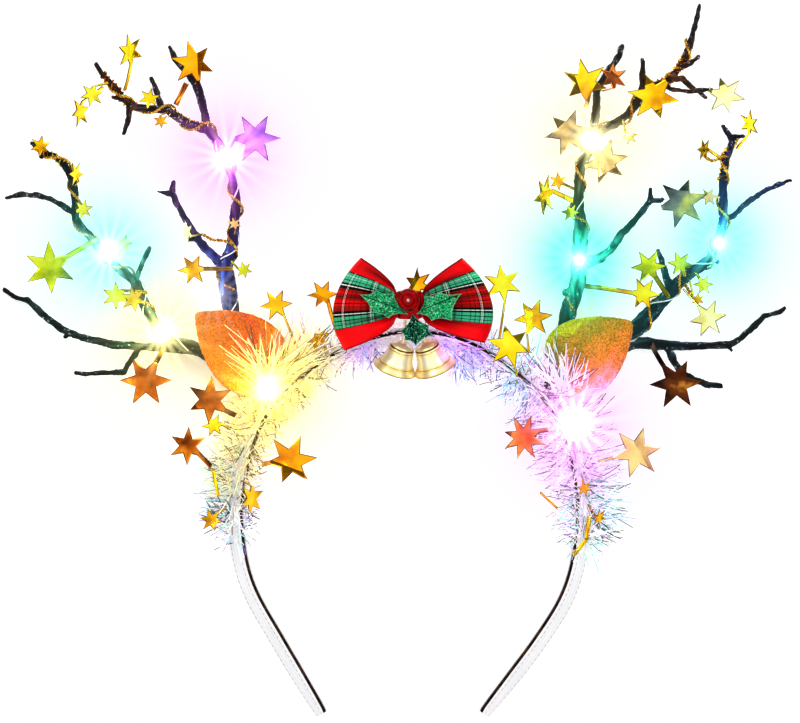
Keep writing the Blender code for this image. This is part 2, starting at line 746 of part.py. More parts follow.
def loop_rows(loop):
    """Rows of places over a bow loop: out from the knot, round the fold and back in front."""
    side = math.copysign(1.0, loop.fold_x - KNOT_X)
    start_x = KNOT_X + side * (KNOT_SIZE[0] / 2 + GAP + BOW_THICK / 2)
    lean = math.radians(loop.lean)
    rows = []
    for step in range(BOW_PATH_STEPS + 1):
        t = step / BOW_PATH_STEPS
        reach = math.sin(math.pi * t)
        reach_eased = reach**BOW_SWELL
        depth = BOW_Z + BOW_THICK + BOW_PUFF * (1 - math.cos(math.pi * t)) / 2
        pinch = BOW_PINCH + BOW_PINCH_SHARE * BOW_PUFF * (1 - reach_eased)
        depth += pinch * (1 - 2 * t) * (1 - reach_eased)
        half = (BOW_GATHER + (BOW_WIDTH - BOW_GATHER) * reach_eased) / 2
        row = []
        for column in range(BOW_WIDTH_STEPS + 1):
            v = 2 * column / BOW_WIDTH_STEPS - 1
            bulge = BOW_FOLD_BULGE * (1 - v * v) * reach_eased
            x = start_x + (loop.fold_x - start_x) * reach_eased + side * bulge
            y = KNOT_Y + (loop.fold_y - KNOT_Y) * reach_eased
            x += half * v * math.sin(lean) * reach_eased
            y += half * v * math.cos(lean)
            row.append((x, y, depth))
        rows.append(row)
    return rows


def build_bow():
    """The bow's two loops and the knot between them."""
    walled_sheet("bow_loop_left", loop_rows(LOOP_LEFT), BOW_THICK, "tartan")
    walled_sheet("bow_loop_right", loop_rows(LOOP_RIGHT), BOW_THICK, "tartan")
    builder = bmesh.new()
    bmesh.ops.create_cube(builder, size=1.0)
    bmesh.ops.scale(builder, verts=builder.verts, vec=Vector(KNOT_SIZE) * MM)
    bmesh.ops.bevel(builder, geom=list(builder.edges), offset=KNOT_ROUND * MM, segments=2, profile=0.5,
                    affect="EDGES")
    middle = Vector((KNOT_X, KNOT_Y, BOW_Z + KNOT_LIFT + KNOT_SIZE[2] / 2)) * MM
    bmesh.ops.translate(builder, verts=builder.verts, vec=middle)
    add_object("bow_knot", mesh_from(builder, "bow_knot"), "tartan")


def build_leaf(name, leaf):
    """A holly leaf: hollow curves between its spines, folded along its midrib."""
    root = Vector(leaf.root)
    rib = Vector(leaf.tip) - root
    middle = sum((Vector(spine) for spine in leaf.spines), Vector((0, 0))) / len(leaf.spines)
    outline = []
    for spine, following in zip(leaf.spines, leaf.spines[1:] + leaf.spines[:1]):
        start = Vector(spine)
        end = Vector(following)
        halfway = (start + end) / 2
        outline.append(start)
        outline.append(halfway.lerp(middle, LEAF_HOLLOW))
    builder = bmesh.new()
    ring = []
    for place in outline + [middle]:
        share = (place - root).dot(rib) / rib.length_squared
        aside = abs((place - root).cross(rib)) / rib.length
        lift = leaf.lift_root + (leaf.lift_tip - leaf.lift_root) * share
        ring.append(builder.verts.new(Vector((*place, lift + LEAF_FOLD * aside / LEAF_FOLD_REACH)) * MM))
    hub = ring.pop()
    for start, end in zip(ring, ring[1:] + ring[:1]):
        builder.faces.new((start, end, hub))
    sheet = add_object(name, mesh_from(builder, name), "leaf_glitter")
    wall = sheet.modifiers.new("wall", "SOLIDIFY")
    wall.thickness = LEAF_THICK * MM
    wall.offset = 0.0


def build_holly():
    """Three leaves and the berry."""
    build_leaf("holly_leaf_left", LEAF_LEFT)
    build_leaf("holly_leaf_right", LEAF_RIGHT)
    build_leaf("holly_leaf_lower", LEAF_LOWER)
    builder = bmesh.new()
    bmesh.ops.create_icosphere(builder, subdivisions=2, radius=BERRY_RADIUS * MM)
    bmesh.ops.translate(builder, verts=builder.verts, vec=Vector(BERRY_PLACE) * MM)
    add_object("holly_berry", mesh_from(builder, "holly_berry"), "berry_red")


def build_bell(name, bell):
    """A hollow bell, turned from its outline, with the stem that hangs it from the knot."""
    height = BELL_OUTLINE[-1].along
    outside = [(ring.radius, ring.along) for ring in BELL_OUTLINE]
    inside = [(ring.radius - BELL_WALL, ring.along) for ring in BELL_OUTLINE[2:]]
    crown = [(0.0, BELL_OUTLINE[2].along)]
    profile = [(0.0, 0.0)] + outside + list(reversed(inside)) + crown
    builder = bmesh.new()
    line = [builder.verts.new(Vector((radius, 0.0, height - along)) * MM)
            for radius, along in profile]
    edges = [builder.edges.new(pair) for pair in zip(line, line[1:])]
    bmesh.ops.spin(builder, geom=line + edges, cent=(0, 0, 0), axis=(0, 0, 1), angle=math.tau,
                   steps=BELL_SIDES, use_merge=True)
    bmesh.ops.remove_doubles(builder, verts=builder.verts, dist=WELD * MM)
    heading = math.radians(bell.heading)
    pitch = math.radians(bell.pitch)
    mouth_way = Vector((math.cos(heading) * math.cos(pitch), math.sin(heading) * math.cos(pitch),
                        math.sin(pitch)))
    turn = (-mouth_way).to_track_quat("Z", "Y").to_matrix().to_4x4()
    place = Vector((bell.mouth_x, bell.mouth_y, bell.mouth_z))
    builder.transform(Matrix.Translation(place * MM) @ turn)
    body = add_object(name, mesh_from(builder, name), "bell_gold")
    crown_place = place - mouth_way * (height - BELL_WALL)
    stem = [crown_place] + [Vector(point) for point in bell.tie]
    combine(body, tube(stem, [BELL_TIE_RADIUS] * len(stem), 1), "UNION")


def wire_route(knots, side_degrees):
    """A wire's places along the front of a shoot, turned to one side of its crest."""
    rows = smooth_rows([tuple(knot) for knot in knots], WIRE_STEPS)
    places = [Vector(row[:3]) for row in rows]
    route = []
    for index, place in enumerate(places):
        ahead = places[min(index + 1, len(places) - 1)]
        behind = places[max(index - 1, 0)]
        along = (ahead - behind).normalized()
        front = (Vector((0, 0, 1)) - along * along.z).normalized()
        aside = along.cross(front)
        lean = math.radians(side_degrees)
        away = front * math.cos(lean) + aside * math.sin(lean)
        reach = rows[index][3] + WIRE_CLEAR + WIRE_RADIUS
        route.append((place + away * reach, away))
    return route


def crest_route(knots):
    """The crest of a bare shoot, a wire's radius below its surface, where straps are tied."""
    front = Vector((0, 0, 1))
    rows = smooth_rows([tuple(knot) for knot in knots], SEAT_STEPS)
    return [(Vector(row[:3]) + front * (row[3] - WIRE_RADIUS), front) for row in rows]


def nearest_on(route, x, y):
    """The place of a route that lies nearest to a point seen from the front, and its outward way."""
    return min(route, key=lambda pair: (pair[0].x - x)**2 + (pair[0].y - y)**2)


LIGHT_STRINGS = {
    "light_string_left_upright": (
        LEFT_UPRIGHT["trunk"][3:12],
        [(-66.0, 26.0), (-65.2, 78.2)],
    ),
    "light_string_left_high": (
        LEFT_HIGH["trunk"][2:9],
        [(-90.2, 10.8), (-111.4, 42.4)],
    ),
    "light_string_right_upright": (
        RIGHT_UPRIGHT["trunk"][2:],
        [(69.9, 38.9), (75.3, 86.6)],
    ),
    "light_string_right_high": (
        RIGHT_HIGH["trunk"][2:11],
        [(124.6, 45.4)],
    ),
}
TINSEL_LIGHTS = {
    "tinsel_light_left": (-50.0, -10.5, 26.5),
    "tinsel_light_right": (68.0, -23.9, 26.8),
}
STAR_WIRES = {
    "star_garland_left_upright": LEFT_UPRIGHT["trunk"][4:] + LEFT_UPRIGHT["limb"][1:8],
    "star_garland_left_high": LEFT_HIGH["trunk"][3:16],
    "star_garland_right_upright": RIGHT_UPRIGHT["trunk"][3:] + RIGHT_UPRIGHT["limb"][1:6],
    "star_garland_right_high": RIGHT_HIGH["trunk"][3:15],
}

# Small stars, joined along their garland's wire
SMALL_STARS = [
    Star(-136.8, 82.4, 23.5, 3.8, 10, 15, -20, -134.0, 80.0, "star_garland_left_high"),
    Star(-120.3, 58.1, 28.0, 3.8, 25, -20, 25, -123.0, 58.0, "star_garland_left_high"),
    Star(-105.3, 44.7, 23.5, 4.2, 0, 30, 10, -108.5, 38.0, "star_garland_left_high"),
    Star(-116.8, 102.0, 30.5, 3.8, 40, 20, -25, -110.6, 106.5, "star_garland_left_upright"),
    Star(-94.9, 100.5, 29.0, 3.6, 15, -25, 15, -93.5, 97.0, "star_garland_left_upright"),
    Star(-90.6, 92.0, 27.5, 3.2, 55, 20, 30, -88.0, 95.4, "star_garland_left_upright"),
    Star(-59.0, 35.0, 18.5, 3.6, 20, 15, 25, -64.0, 38.5, "star_garland_left_upright"),
    Star(88.8, 86.2, 26.5, 3.6, 30, -20, 20, 86.5, 92.6, "star_garland_right_upright"),
    Star(61.8, 68.9, 23.5, 3.6, 5, 25, -25, 68.0, 66.0, "star_garland_right_upright"),
    Star(66.4, 57.0, 24.5, 3.6, 45, -30, -15, 68.4, 60.0, "star_garland_right_upright"),
    Star(119.2, 62.8, 29.0, 3.6, 20, 20, -20, 123.6, 62.5, "star_garland_right_high"),
    Star(117.3, 29.3, 24.0, 4.2, 10, -20, 25, 114.5, 34.0, "star_garland_right_high"),
]

# Larger stars, each a piece of its own that hangs on a garland, a twig or the tinsel
LARGE_STARS = {
    "star_01": Star(-133.0, 35.8, 26.0, 10.4, 12, 8, -10, -118.5, 45.5, "star_garland_left_high"),
    "star_02": Star(-96.8, -7.7, 16.0, 10.4, 28, -12, 10, -90.0, 5.6, "left_low"),
    "star_03": Star(-80.6, -32.7, 15.0, 7.7, 3, 10, -14, -71.5, -40.5, "tinsel"),
    "star_04": Star(-72.5, -15.5, 26.2, 9.0, 20, 12, -8, -62.0, -21.0, "tinsel"),
    "star_05": Star(-41.3, -38.1, 27.8, 10.8, 8, -10, 12, -52.0, -40.0, "tinsel"),
    "star_06": Star(-56.0, -52.7, 28.5, 7.3, 30, 5, 52, -59.5, -46.0, "tinsel"),
    "star_07": Star(-78.3, 35.0, 24.5, 6.5, 15, -15, 12, -68.5, 33.5, "star_garland_left_upright"),
    "star_08": Star(-46.4, 21.5, 28.0, 6.5, 22, 10, 10, -37.5, 2.5, "tinsel"),
    "star_09": Star(-55.2, 85.9, 25.0, 10.4, 0, -8, 12, -65.0, 78.0, "star_garland_left_upright"),
    "star_10": Star(-77.9, 114.7, 21.0, 10.0, 18, 14, 8, -78.0, 107.0, "left_crown"),
    "star_11": Star(-102.4, 118.2, 33.0, 7.3, 0, 8, 55, -106.8, 103.5, "star_garland_left_upright"),
    "star_12": Star(-108.0, 25.0, 23.0, 5.8, 24, -20, -10, -100.0, 27.5, "star_garland_left_high"),
    "star_13": Star(40.3, 29.6, 25.0, 7.7, 26, 10, -10, 39.0, 7.5, "tinsel"),
    "star_14": Star(52.5, 17.5, 26.5, 7.7, 8, -8, 14, 50.5, 3.5, "tinsel"),
    "star_15": Star(43.4, 5.9, 27.5, 9.0, 18, 14, 8, 46.0, -6.0, "tinsel"),
    "star_16": Star(72.0, 105.0, 26.0, 10.0, 12, -12, 8, 76.6, 99.0, "right_crown"),
    "star_17": Star(97.3, 99.3, 31.5, 10.8, 5, 8, -6, 93.8, 103.5, "star_garland_right_upright"),
    "star_18": Star(126.5, 99.4, 33.5, 8.9, 22, -10, -12, 118.0, 104.0, "right_spur"),
    "star_19": Star(65.0, 89.0, 27.5, 9.6, 28, 10, -14, 71.5, 79.5, "star_garland_right_upright"),
    "star_20": Star(79.9, 74.4, 24.5, 9.6, 6, -12, 12, 71.5, 77.0, "star_garland_right_upright"),
    "star_21": Star(135.0, 92.5, 26.0, 5.4, 18, 12, -16, 128.6, 84.5, "star_garland_right_high"),
    "star_22": Star(110.5, 62.0, 31.6, 11.0, 2, 8, 8, 101.0, 61.8, "right_fork"),
    "star_23": Star(92.9, 36.2, 25.5, 7.3, 14, -14, -10, 103.0, 25.2, "star_garland_right_high"),
    "star_24": Star(119.8, 17.0, 22.0, 7.7, 24, 12, 18, 108.5, 30.5, "star_garland_right_high"),
    "star_25": Star(106.6, -9.2, 22.0, 11.0, 8, -10, -8, 98.0, 6.6, "right_low"),
    "star_26": Star(48.7, -29.6, 27.0, 9.2, 20, 14, 10, 58.0, -26.0, "tinsel"),
    "star_27": Star(93.1, -35.0, 25.0, 10.8, 10, 8, -10, 77.0, -38.5, "tinsel"),
}


def carrier_seat(star, routes, away_by):
    """Where a star's strap ends on what carries it."""
    if star.carrier == "tinsel":
        return tinsel_seat(star, away_by)
    place, away = nearest_on(routes[star.carrier], star.seat_x, star.seat_y)
    return place + away * away_by


def tinsel_seat(star, away_by):
    """The place on the front of the tinsel under a star's seat."""
    spot = Vector((star.seat_x, star.seat_y, HOOP_Z))
    stations = [station for stretch in (TINSEL_LEFT, TINSEL_CENTRE, TINSEL_RIGHT)
                for station in smooth_rows([tuple(row) for row in stretch], SEAT_STEPS)]
    best = min(stations, key=lambda station: (hoop_at(station[0])[0] - spot).length)
    share, across, high, outward_by = best
    place, outward = hoop_at(share)
    aside = (spot - place).dot(outward) - outward_by
    rise = high * math.sqrt(max(0.0, 1 - (aside / across)**2))
    return spot + Vector((0, 0, rise + away_by - WIRE_RADIUS))


def star_mesh(star, seat):
    """A creased six-pointed foil star whose strap runs from one side of it to the seat."""
    centre = Vector((star.x, star.y, star.z))
    lean = (Matrix.Rotation(math.radians(star.lean_x), 3, "X")
            @ Matrix.Rotation(math.radians(star.lean_y), 3, "Y"))
    flat_way = lean.inverted() @ (seat - centre)
    strap_angle = math.atan2(flat_way.y, flat_way.x)
    turn = math.radians(star.turn)
    half_step = math.pi / STAR_POINTS
    corners = 2 * STAR_POINTS
    strap_corner = int(2 * math.floor((strap_angle - turn) / (2 * half_step)) + 1) % corners
    builder = bmesh.new()
    ring = []
    strap = []
    for corner in range(corners):
        angle = turn + half_step * corner
        tip = corner % 2 == 0
        reach = star.radius if tip else star.radius * STAR_INNER
        bend = STAR_CREASE * star.radius * (1 if corner % 4 == 0 else -1) if tip else 0.0
        if corner == strap_corner:
            aside = Vector((-math.sin(angle), math.cos(angle), 0.0)) * (STRAP_WIDTH / 2)
            root = Vector((math.cos(angle), math.sin(angle), 0.0)) * reach
            strap = [builder.verts.new((centre + lean @ (root + aside * sign)) * MM)
                     for sign in (-1, 1)]
            ring.extend(strap)
        else:
            flat = Vector((math.cos(angle) * reach, math.sin(angle) * reach, bend))
            ring.append(builder.verts.new((centre + lean @ flat) * MM))
    hub = builder.verts.new((centre + lean @ Vector((0, 0, STAR_CREASE * star.radius))) * MM)
    for start, end in zip(ring, ring[1:] + ring[:1]):
        builder.faces.new((start, end, hub))
    way = (seat - centre).normalized()
    front = lean @ Vector((0, 0, 1))
    aside = front.cross(way).normalized() * (STRAP_WIDTH / 2)
    ends = [builder.verts.new((seat + aside * sign) * MM) for sign in (-1, 1)]
    builder.faces.new((strap[0], ends[0], ends[1], strap[1]))
    bmesh.ops.recalc_face_normals(builder, faces=builder.faces)
    bmesh.ops.solidify(builder, geom=list(builder.faces), thickness=STAR_THICK * MM)
    return mesh_from(builder)


def light_bulb(place, along):
    """A small drop-shaped bulb, its length along the wire."""
    builder = bmesh.new()
    bmesh.ops.create_icosphere(builder, subdivisions=1, radius=1.0)
    stretch = Matrix.Diagonal((BULB_RADIUS, BULB_RADIUS, BULB_LENGTH / 2, 1.0))
    turn = along.to_track_quat("Z", "Y").to_matrix().to_4x4()
    builder.transform(Matrix.Scale(MM, 4) @ Matrix.Translation(place) @ turn @ stretch)
    return mesh_from(builder)


def build_lights():
    """The strings of lights along the twigs and the two bulbs in the tinsel."""
    for name, (knots, bulbs) in LIGHT_STRINGS.items():
        route = wire_route(knots, -WIRE_SIDE)
        places = [place for place, away in route]
        string = add_object(name, tube(places, [WIRE_RADIUS] * len(places), 0), "light_wire")
        for x, y in bulbs:
            place, away = nearest_on(route, x, y)
            index = places.index(place)
            along = places[min(index + 1, len(places) - 1)] - places[max(index - 1, 0)]
            combine(string, light_bulb(place + away * BULB_LIFT, along), "UNION")
    for name, place in TINSEL_LIGHTS.items():
        builder = bmesh.new()
        bmesh.ops.create_icosphere(builder, subdivisions=2, radius=TINSEL_BULB_RADIUS * MM)
        bmesh.ops.translate(builder, verts=builder.verts, vec=Vector(place) * MM)
        add_object(name, mesh_from(builder, name), "light_bulb")


def build_star_garlands():
    """The garland wires with their small stars, and the larger stars one by one."""
    routes = {name: wire_route(knots, WIRE_SIDE) for name, knots in STAR_WIRES.items()}
    for name, route in routes.items():
        places = [place for place, away in route]
        wire = add_object(name, tube(places, [WIRE_RADIUS] * len(places), 0), "star_foil")
        for star in SMALL_STARS:
            if star.carrier == name:
                combine(wire, star_mesh(star, carrier_seat(star, routes, 0.0)), "UNION")
    bare_shoots = {
        "left_low": LEFT_LOW["trunk"],
        "left_crown": LEFT_UPRIGHT["crown_shoot"],
        "right_low": RIGHT_LOW["trunk"],
        "right_crown": RIGHT_UPRIGHT["crown_shoot"],
        "right_spur": RIGHT_UPRIGHT["spur_mid"],
        "right_fork": RIGHT_UPRIGHT["side_fork"],
    }
    for name, knots in bare_shoots.items():
        routes[name] = crest_route(knots)
    for name, star in LARGE_STARS.items():
        seat = carrier_seat(star, routes, SEAT_LIFT + WIRE_RADIUS)
        mesh = star_mesh(star, seat)
        mesh.name = name
        add_object(name, mesh, "star_foil")


def build_tinsel():
    """The tinsel's three stretches, cleared round the twigs' feet and the ears' bases."""
    left_twigs = [LEFT_UPRIGHT, LEFT_HIGH, LEFT_LOW]
    right_twigs = [RIGHT_UPRIGHT, RIGHT_HIGH, RIGHT_LOW]
    left_room = [twig_tube(twig["trunk"][:4], TINSEL_CUT) for twig in left_twigs]
    right_room = [twig_tube(twig["trunk"][:4], TINSEL_CUT) for twig in right_twigs]
    tinsel_stretch("tinsel_left", TINSEL_LEFT, left_room + [ear_room(EAR_LEFT)])
    tinsel_stretch("tinsel_centre", TINSEL_CENTRE, [])
    tinsel_stretch("tinsel_right", TINSEL_RIGHT, right_room + [ear_room(EAR_RIGHT)])


def main():
    """Builds the headband piece by piece."""
    clear_scene()
    build_hoop()
    build_twig("antler_left_upright", LEFT_UPRIGHT)
    build_twig("antler_left_high", LEFT_HIGH)
    build_twig("antler_left_low", LEFT_LOW)
    build_twig("antler_right_upright", RIGHT_UPRIGHT)
    build_twig("antler_right_high", RIGHT_HIGH)
    build_twig("antler_right_low", RIGHT_LOW)
    build_ear("ear_left", EAR_LEFT)
    build_ear("ear_right", EAR_RIGHT)
    build_tinsel()
    build_bow()
    build_holly()
    build_bell("bell_left", BELL_LEFT)
    build_bell("bell_right", BELL_RIGHT)
    build_lights()
    build_star_garlands()


main()
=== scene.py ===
"""Looks of a reindeer antler headband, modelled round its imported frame.

The headband lies on its back on a pale floor. Places and sizes in the tables are millimetres in the
frame's axes: X to the right, Y to the antler tips, and Z up, out of the floor.
"""

import functools
import json
import logging
from collections.abc import Sequence
from dataclasses import dataclass, field
from enum import Enum
from math import atan2, copysign, cos, exp, hypot, pi, radians, sin, sqrt, tau

import bmesh
import bpy
import numpy as np
from mathutils import Matrix, Vector, noise

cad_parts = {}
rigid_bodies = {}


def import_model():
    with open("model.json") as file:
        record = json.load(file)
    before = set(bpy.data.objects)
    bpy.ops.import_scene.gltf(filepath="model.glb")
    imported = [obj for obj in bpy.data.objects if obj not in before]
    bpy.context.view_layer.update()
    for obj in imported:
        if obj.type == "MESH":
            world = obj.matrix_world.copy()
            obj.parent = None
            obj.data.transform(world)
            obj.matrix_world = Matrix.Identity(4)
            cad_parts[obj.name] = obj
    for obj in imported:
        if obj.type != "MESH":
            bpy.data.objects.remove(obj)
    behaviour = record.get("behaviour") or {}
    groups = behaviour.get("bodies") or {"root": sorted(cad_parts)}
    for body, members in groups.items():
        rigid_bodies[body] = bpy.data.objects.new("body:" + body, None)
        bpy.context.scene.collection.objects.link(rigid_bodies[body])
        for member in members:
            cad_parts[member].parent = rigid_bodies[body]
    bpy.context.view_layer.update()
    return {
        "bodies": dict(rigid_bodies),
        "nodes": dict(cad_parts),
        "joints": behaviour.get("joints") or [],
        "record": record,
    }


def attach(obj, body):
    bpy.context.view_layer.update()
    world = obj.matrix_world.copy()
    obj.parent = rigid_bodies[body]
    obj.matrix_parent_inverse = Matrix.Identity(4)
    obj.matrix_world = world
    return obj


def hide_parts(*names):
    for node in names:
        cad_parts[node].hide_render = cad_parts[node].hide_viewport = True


LOG = logging.getLogger("headband")
MM = 0.001
PER_MM = 1000.0
BODY = "root"
WELD = 0.004
UP = Vector((0.0, 0.0, 1.0))

Row = tuple[float, ...]
Colour = tuple[float, float, float]
Mesh = bpy.types.Mesh
Node = bpy.types.Node
Socket = bpy.types.NodeSocket
BMesh = bmesh.types.BMesh

# The hoop's line: x, y and the ribbons' tilt in degrees
HOOP_ROUTE: list[Row] = [
    (-28.8, -135.7, 30), (-45.2, -108.6, 30), (-57.9, -84.7, 30), (-61.8, -60.0, 28),
    (-58.3, -38.1, 20), (-51.0, -21.5, 6), (-38.0, -7.8, -8), (-20.0, 3.4, -20), (0.0, 9.2, -25),
    (15.2, 8.9, -25), (30.3, 4.2, -23), (47.2, -6.5, -10), (60.0, -20.0, 4), (68.4, -40.0, 18),
    (71.1, -62.0, 28), (66.5, -87.0, 30), (54.0, -108.6, 30), (33.0, -135.7, 30),
]
HOOP_Z = 12.5

# The twigs that carry wires: x, y, z and radius from foot to tip
TWIG_ROUTES: dict[str, list[Row]] = {
    "left_upright": [
        (-63.7, 16.6, 11.2, 2.5), (-65.2, 27.3, 12.6, 2.7), (-66.3, 36.5, 14.0, 2.5),
        (-63.3, 44.3, 15.5, 1.8), (-62.5, 54.7, 17.0, 1.6), (-61.8, 59.7, 18.0, 1.9),
        (-62.5, 65.1, 18.5, 1.6), (-63.7, 71.6, 19.0, 1.6), (-66.0, 79.3, 19.0, 1.7),
        (-69.5, 84.7, 18.6, 1.7), (-72.9, 88.9, 18.0, 1.9), (-79.8, 90.9, 20.0, 1.6),
        (-88.3, 96.2, 23.0, 1.5), (-95.2, 97.0, 25.0, 1.2), (-99.9, 97.0, 26.0, 1.2),
        (-105.3, 100.5, 27.0, 1.3), (-108.0, 104.7, 27.5, 1.0), (-113.3, 110.1, 27.0, 0.9),
    ],
    "left_high": [
        (-79.8, 5.9, 15.5, 2.4), (-87.5, 7.4, 15.0, 2.2), (-91.4, 11.9, 15.0, 2.0),
        (-96.4, 19.6, 15.6, 1.9), (-101.2, 31.0, 16.6, 1.9), (-106.8, 35.4, 17.6, 1.6),
        (-112.6, 40.8, 19.0, 1.5), (-120.7, 51.2, 22.0, 1.2), (-123.7, 54.7, 23.0, 1.4),
        (-123.4, 62.0, 24.0, 1.5), (-124.9, 70.5, 23.5, 1.3), (-128.0, 75.5, 22.0, 1.1),
        (-131.4, 78.7, 21.0, 0.9), (-135.3, 80.1, 20.0, 0.9), (-139.0, 82.6, 19.0, 0.7),
    ],
    "right_upright": [
        (64.0, 11.9, 11.0, 2.3), (66.2, 20.0, 12.2, 2.1), (69.3, 29.3, 13.8, 2.2),
        (69.9, 37.7, 15.2, 2.3), (70.3, 48.1, 16.6, 2.2), (70.7, 52.4, 17.2, 2.0),
        (69.3, 58.5, 18.2, 1.8), (69.7, 65.1, 19.0, 1.8), (69.7, 71.2, 19.4, 1.7),
        (72.2, 79.3, 19.4, 1.7), (74.9, 85.9, 19.0, 1.8), (82.2, 90.5, 21.0, 1.5),
        (88.4, 94.3, 22.4, 1.5), (91.9, 98.9, 23.4, 1.4), (93.8, 104.3, 24.0, 1.5),
        (99.2, 105.9, 24.4, 1.3), (104.6, 107.8, 24.4, 1.5), (107.6, 111.7, 23.8, 1.2),
        (110.7, 116.7, 22.4, 1.2), (112.7, 123.2, 20.0, 1.1),
    ],
    "right_high": [
        (81.9, 7.3, 15.9, 2.8), (91.9, 12.5, 15.6, 2.7), (95.7, 16.6, 15.6, 2.5),
        (103.8, 25.2, 16.4, 2.1), (108.0, 30.0, 17.2, 1.9), (112.3, 33.5, 18.2, 1.7),
        (120.4, 39.3, 21.0, 1.8), (121.5, 44.7, 22.0, 1.6), (124.2, 49.3, 23.0, 1.5),
        (125.0, 55.8, 24.0, 1.7), (124.6, 68.9, 24.4, 1.5), (126.1, 77.0, 23.4, 1.3),
        (127.7, 81.6, 22.4, 1.2), (128.8, 85.9, 21.0, 1.0),
    ],
}


@dataclass(frozen=True)
class Led:
    """A lit bulb: its name, place, colour, and how far its light colours what is near."""

    name: str
    place: Row
    colour: Colour
    reach: float
    power: float = 1.0
    shows: bool = True


LEDS = [
    Led("pink_left", (-65.2, 78.2, 22.8), (1.0, 0.54, 0.95), 17.0, 0.8),
    Led("lilac_left", (-70.2, 25.8, 18.4), (0.88, 0.84, 1.0), 12.0, 0.28),
    Led("cyan_left", (-111.0, 42.0, 22.0), (0.42, 1.0, 0.93), 20.0, 0.9),
    Led("warm_left", (-90.4, 11.0, 18.8), (1.0, 0.93, 0.48), 22.0, 0.8),
    Led("warm_tinsel", (-50.0, -10.5, 26.5), (1.0, 0.91, 0.42), 24.0, 1.0),
    Led("warm_right", (74.6, 84.8, 22.6), (1.0, 0.93, 0.56), 17.0, 0.7),
    Led("cyan_right", (69.9, 38.9, 19.4), (0.14, 1.0, 0.84), 20.0),
    Led("cyan_high", (123.0, 45.4, 25.2), (0.20, 1.0, 0.94), 18.0, 0.8),
    Led("pink_tinsel", (68.0, -23.9, 26.5), (1.0, 0.66, 0.97), 20.0, 1.1),
    Led("violet_bow", (16.4, 3.0, 23.0), (0.60, 0.16, 1.0), 14.0, shows=False),
]


def rgba(colour: Sequence[float]) -> tuple[float, ...]:
    """A colour with an opaque alpha."""
    return (*colour[:3], 1.0)


def vector(row: Sequence[float]) -> Vector:
    """The place in the first three numbers of a row."""
    return Vector(row[:3])


def flat_way(angle: float) -> Vector:
    """The way at an angle in radians from +X towards +Y."""
    return Vector((cos(angle), sin(angle), 0.0))


def line_way(places: Sequence[Vector], index: int) -> Vector:
    """The way that a line runs at one of its places."""
    return (places[min(index + 1, len(places) - 1)] - places[max(index - 1, 0)]).normalized()


def smooth_rows(rows: Sequence[Row], per_span: int) -> np.ndarray:
    """Rows of numbers on one smooth curve through the given rows.

    Args:
        rows: the rows that the curve passes through.
        per_span: the steps between each two of them.

    Returns:
        The rows along the curve, the last one included.
    """
    points = np.asarray(rows, dtype=float)
    padded = np.vstack([points[:1], points, points[-1:]])
    smooth = []
    for index in range(len(points) - 1):
        before, start, end, after = padded[index:index + 4]
        for t in np.arange(per_span) / per_span:
            smooth.append(0.5 * (2 * start + (end - before) * t
                                 + (2 * before - 5 * start + 4 * end - after) * t**2
                                 + (3 * start - before - 3 * end + after) * t**3))
    smooth.append(points[-1])
    return np.array(smooth)


